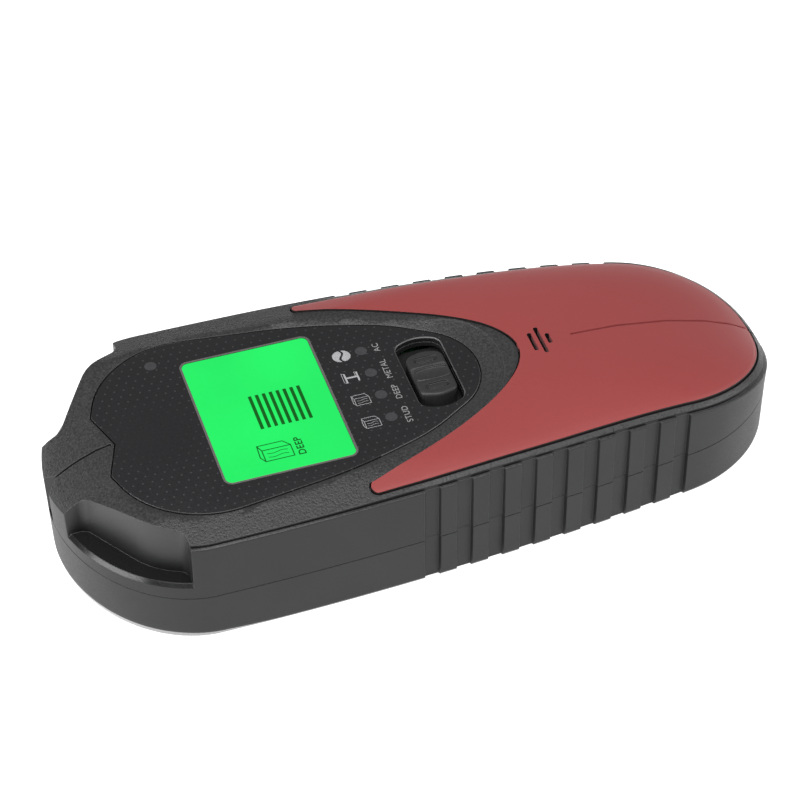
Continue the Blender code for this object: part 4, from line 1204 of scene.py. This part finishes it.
dress(surface("wire_black", (0.014, 0.014, 0.014), 0.5, bump=0.15), "battery_lead_black")
dress(surface("foam", (0.10, 0.10, 0.10), 0.95, grain=1600.0, bump=0.9, depth=0.3, tint=0.4),
      "battery_foam_pad")
dress(circuit_board("board"), "main_board", "sensor_board")
dress(surface("chip", (0.014, 0.014, 0.015), 0.55, grain=3000.0, bump=0.3),
      "microcontroller", "signal_amplifier", "voltage_regulator")
dress(surface("capacitor", (0.02, 0.05, 0.20), 0.38, grain=1500.0, bump=0.1, coat=0.3),
      *named("capacitor"))
dress(surface("copper", (0.72, 0.34, 0.19), 0.34, grain=1800.0, bump=0.3, metallic=1.0,
              stretch=(1.0, 0.12, 1.0)), "metal_sensing_coil", *named("sensor_plate"))
dress(surface("ferrite", (0.045, 0.045, 0.05), 0.7, grain=2200.0, bump=0.5, tint=0.3), "coil_core")
dress(surface("led", (0.78, 0.78, 0.68), 0.35, grain=1500.0, bump=0.08), *named("led"))
dress(surface("light_pipe", (0.70, 0.74, 0.74), 0.12, grain=900.0, bump=0.05, coat=0.5),
      *named("light_pipe"))
dress(surface("screw_steel", (0.50, 0.50, 0.52), 0.33, grain=2600.0, bump=0.25, metallic=1.0),
      *named("screw"))

base = build_base()
weighted_normals(base)
finish_piece(base, BASE_WALL, "housing", "lower_housing", "lower_shell")
paint(base, base_slot, BASE_RIM_REFLECTION)

top = build_top()
weighted_normals(top)
finish_piece(top, SIDE_WALL, "housing", "upper_housing", "upper_shell")
paint(top, top_slot, TOP_SKIN, SHADED_SCOOP_FLOOR, SCOOP_WALL)

cover = build_red_cover()
weighted_normals(cover)
finish_piece(cover, RED_PAINT, "housing", "red_cover", "red_cover")
paint(cover, cover_slot, RED_EDGE_SHADE)

panel = build_panel()
finish_piece(panel, PANEL_BLACK, "housing", "front_panel", "front_panel")
paint(panel, panel_slot, PANEL_EDGE_HIGHLIGHT)

knob, skirt = build_knob()
finish_piece(knob, KNOB_GREY, "mode_slide", "knob", "mode_slide_knob")
finish_piece(skirt, BLACK_PLASTIC, "mode_slide", "knob")

button = build_button()
finish_piece(button, KEY_GREY, "power_button", "button", "power_button")

build_prints()
build_display()


# ======== stage, lights, camera ========

def build_stage():
    bpy.ops.mesh.primitive_plane_add(size=6.0, location=(0.0, 0.0, FLOOR_Z * MM))
    floor = bpy.context.object
    floor.name = "floor"
    material = bpy.data.materials.new("floor_white")
    material.use_nodes = True
    tree = material.node_tree
    feed(tree, tree.nodes["Principled BSDF"], {
        "Base Color": (0.6, 0.6, 0.6, 1.0), "Roughness": 0.9,
        "Emission Color": (1.0, 1.0, 1.0, 1.0), "Emission Strength": 0.85,
    })
    floor.data.materials.append(material)


def area_light(name, location, target, size, power):
    """Square area light aimed at the target; places and size in metres, power in watts."""
    data = bpy.data.lights.new(name, "AREA")
    data.size = size
    data.energy = power
    light = add_object(name, data)
    light.location = location
    direction = Vector(target) - Vector(location)
    light.rotation_euler = direction.to_track_quat("-Z", "Y").to_euler()


def build_lights():
    world = bpy.data.worlds.new("studio")
    bpy.context.scene.world = world
    world.use_nodes = True
    feed(world.node_tree, world.node_tree.nodes["Background"],
         {"Color": (1.0, 1.0, 1.0, 1.0), "Strength": 0.22})
    area_light("overhead", (-0.3, 0.1, 0.85), (0.0, 0.0, 0.0), 0.8, 7.5)
    area_light("nose_side", (-0.15, 0.85, 0.35), (0.0, 0.05, 0.0), 0.5, 6.0)
    area_light("tail_side", (-0.3, -0.8, 0.35), (0.0, -0.05, 0.0), 0.5, 2.6)
    bpy.context.scene.view_settings.view_transform = "Standard"


def build_camera():
    azimuth = math.radians(CAMERA_AZIMUTH)
    elevation = math.radians(CAMERA_ELEVATION)
    roll = math.radians(CAMERA_ROLL)
    back = Vector((math.sin(azimuth) * math.cos(elevation),
                   -math.cos(azimuth) * math.cos(elevation), math.sin(elevation)))
    level_right = Vector((math.cos(azimuth), math.sin(azimuth), 0.0))
    level_up = back.cross(level_right)
    right = level_right * math.cos(roll) + level_up * math.sin(roll)
    up = level_up * math.cos(roll) - level_right * math.sin(roll)
    aim = right * CAMERA_RIGHT + up * CAMERA_UP + Vector((0.0, CAMERA_AIM_Y, 0.0))
    data = bpy.data.cameras.new("camera")
    data.lens = CAMERA_LENS
    data.sensor_width = 36.0
    camera = add_object("camera", data)
    matrix = Matrix((right, up, back)).transposed().to_4x4()
    matrix.translation = (back * CAMERA_DISTANCE + aim) * MM
    camera.matrix_world = matrix
    bpy.context.scene.camera = camera


build_stage()
build_lights()
build_camera()
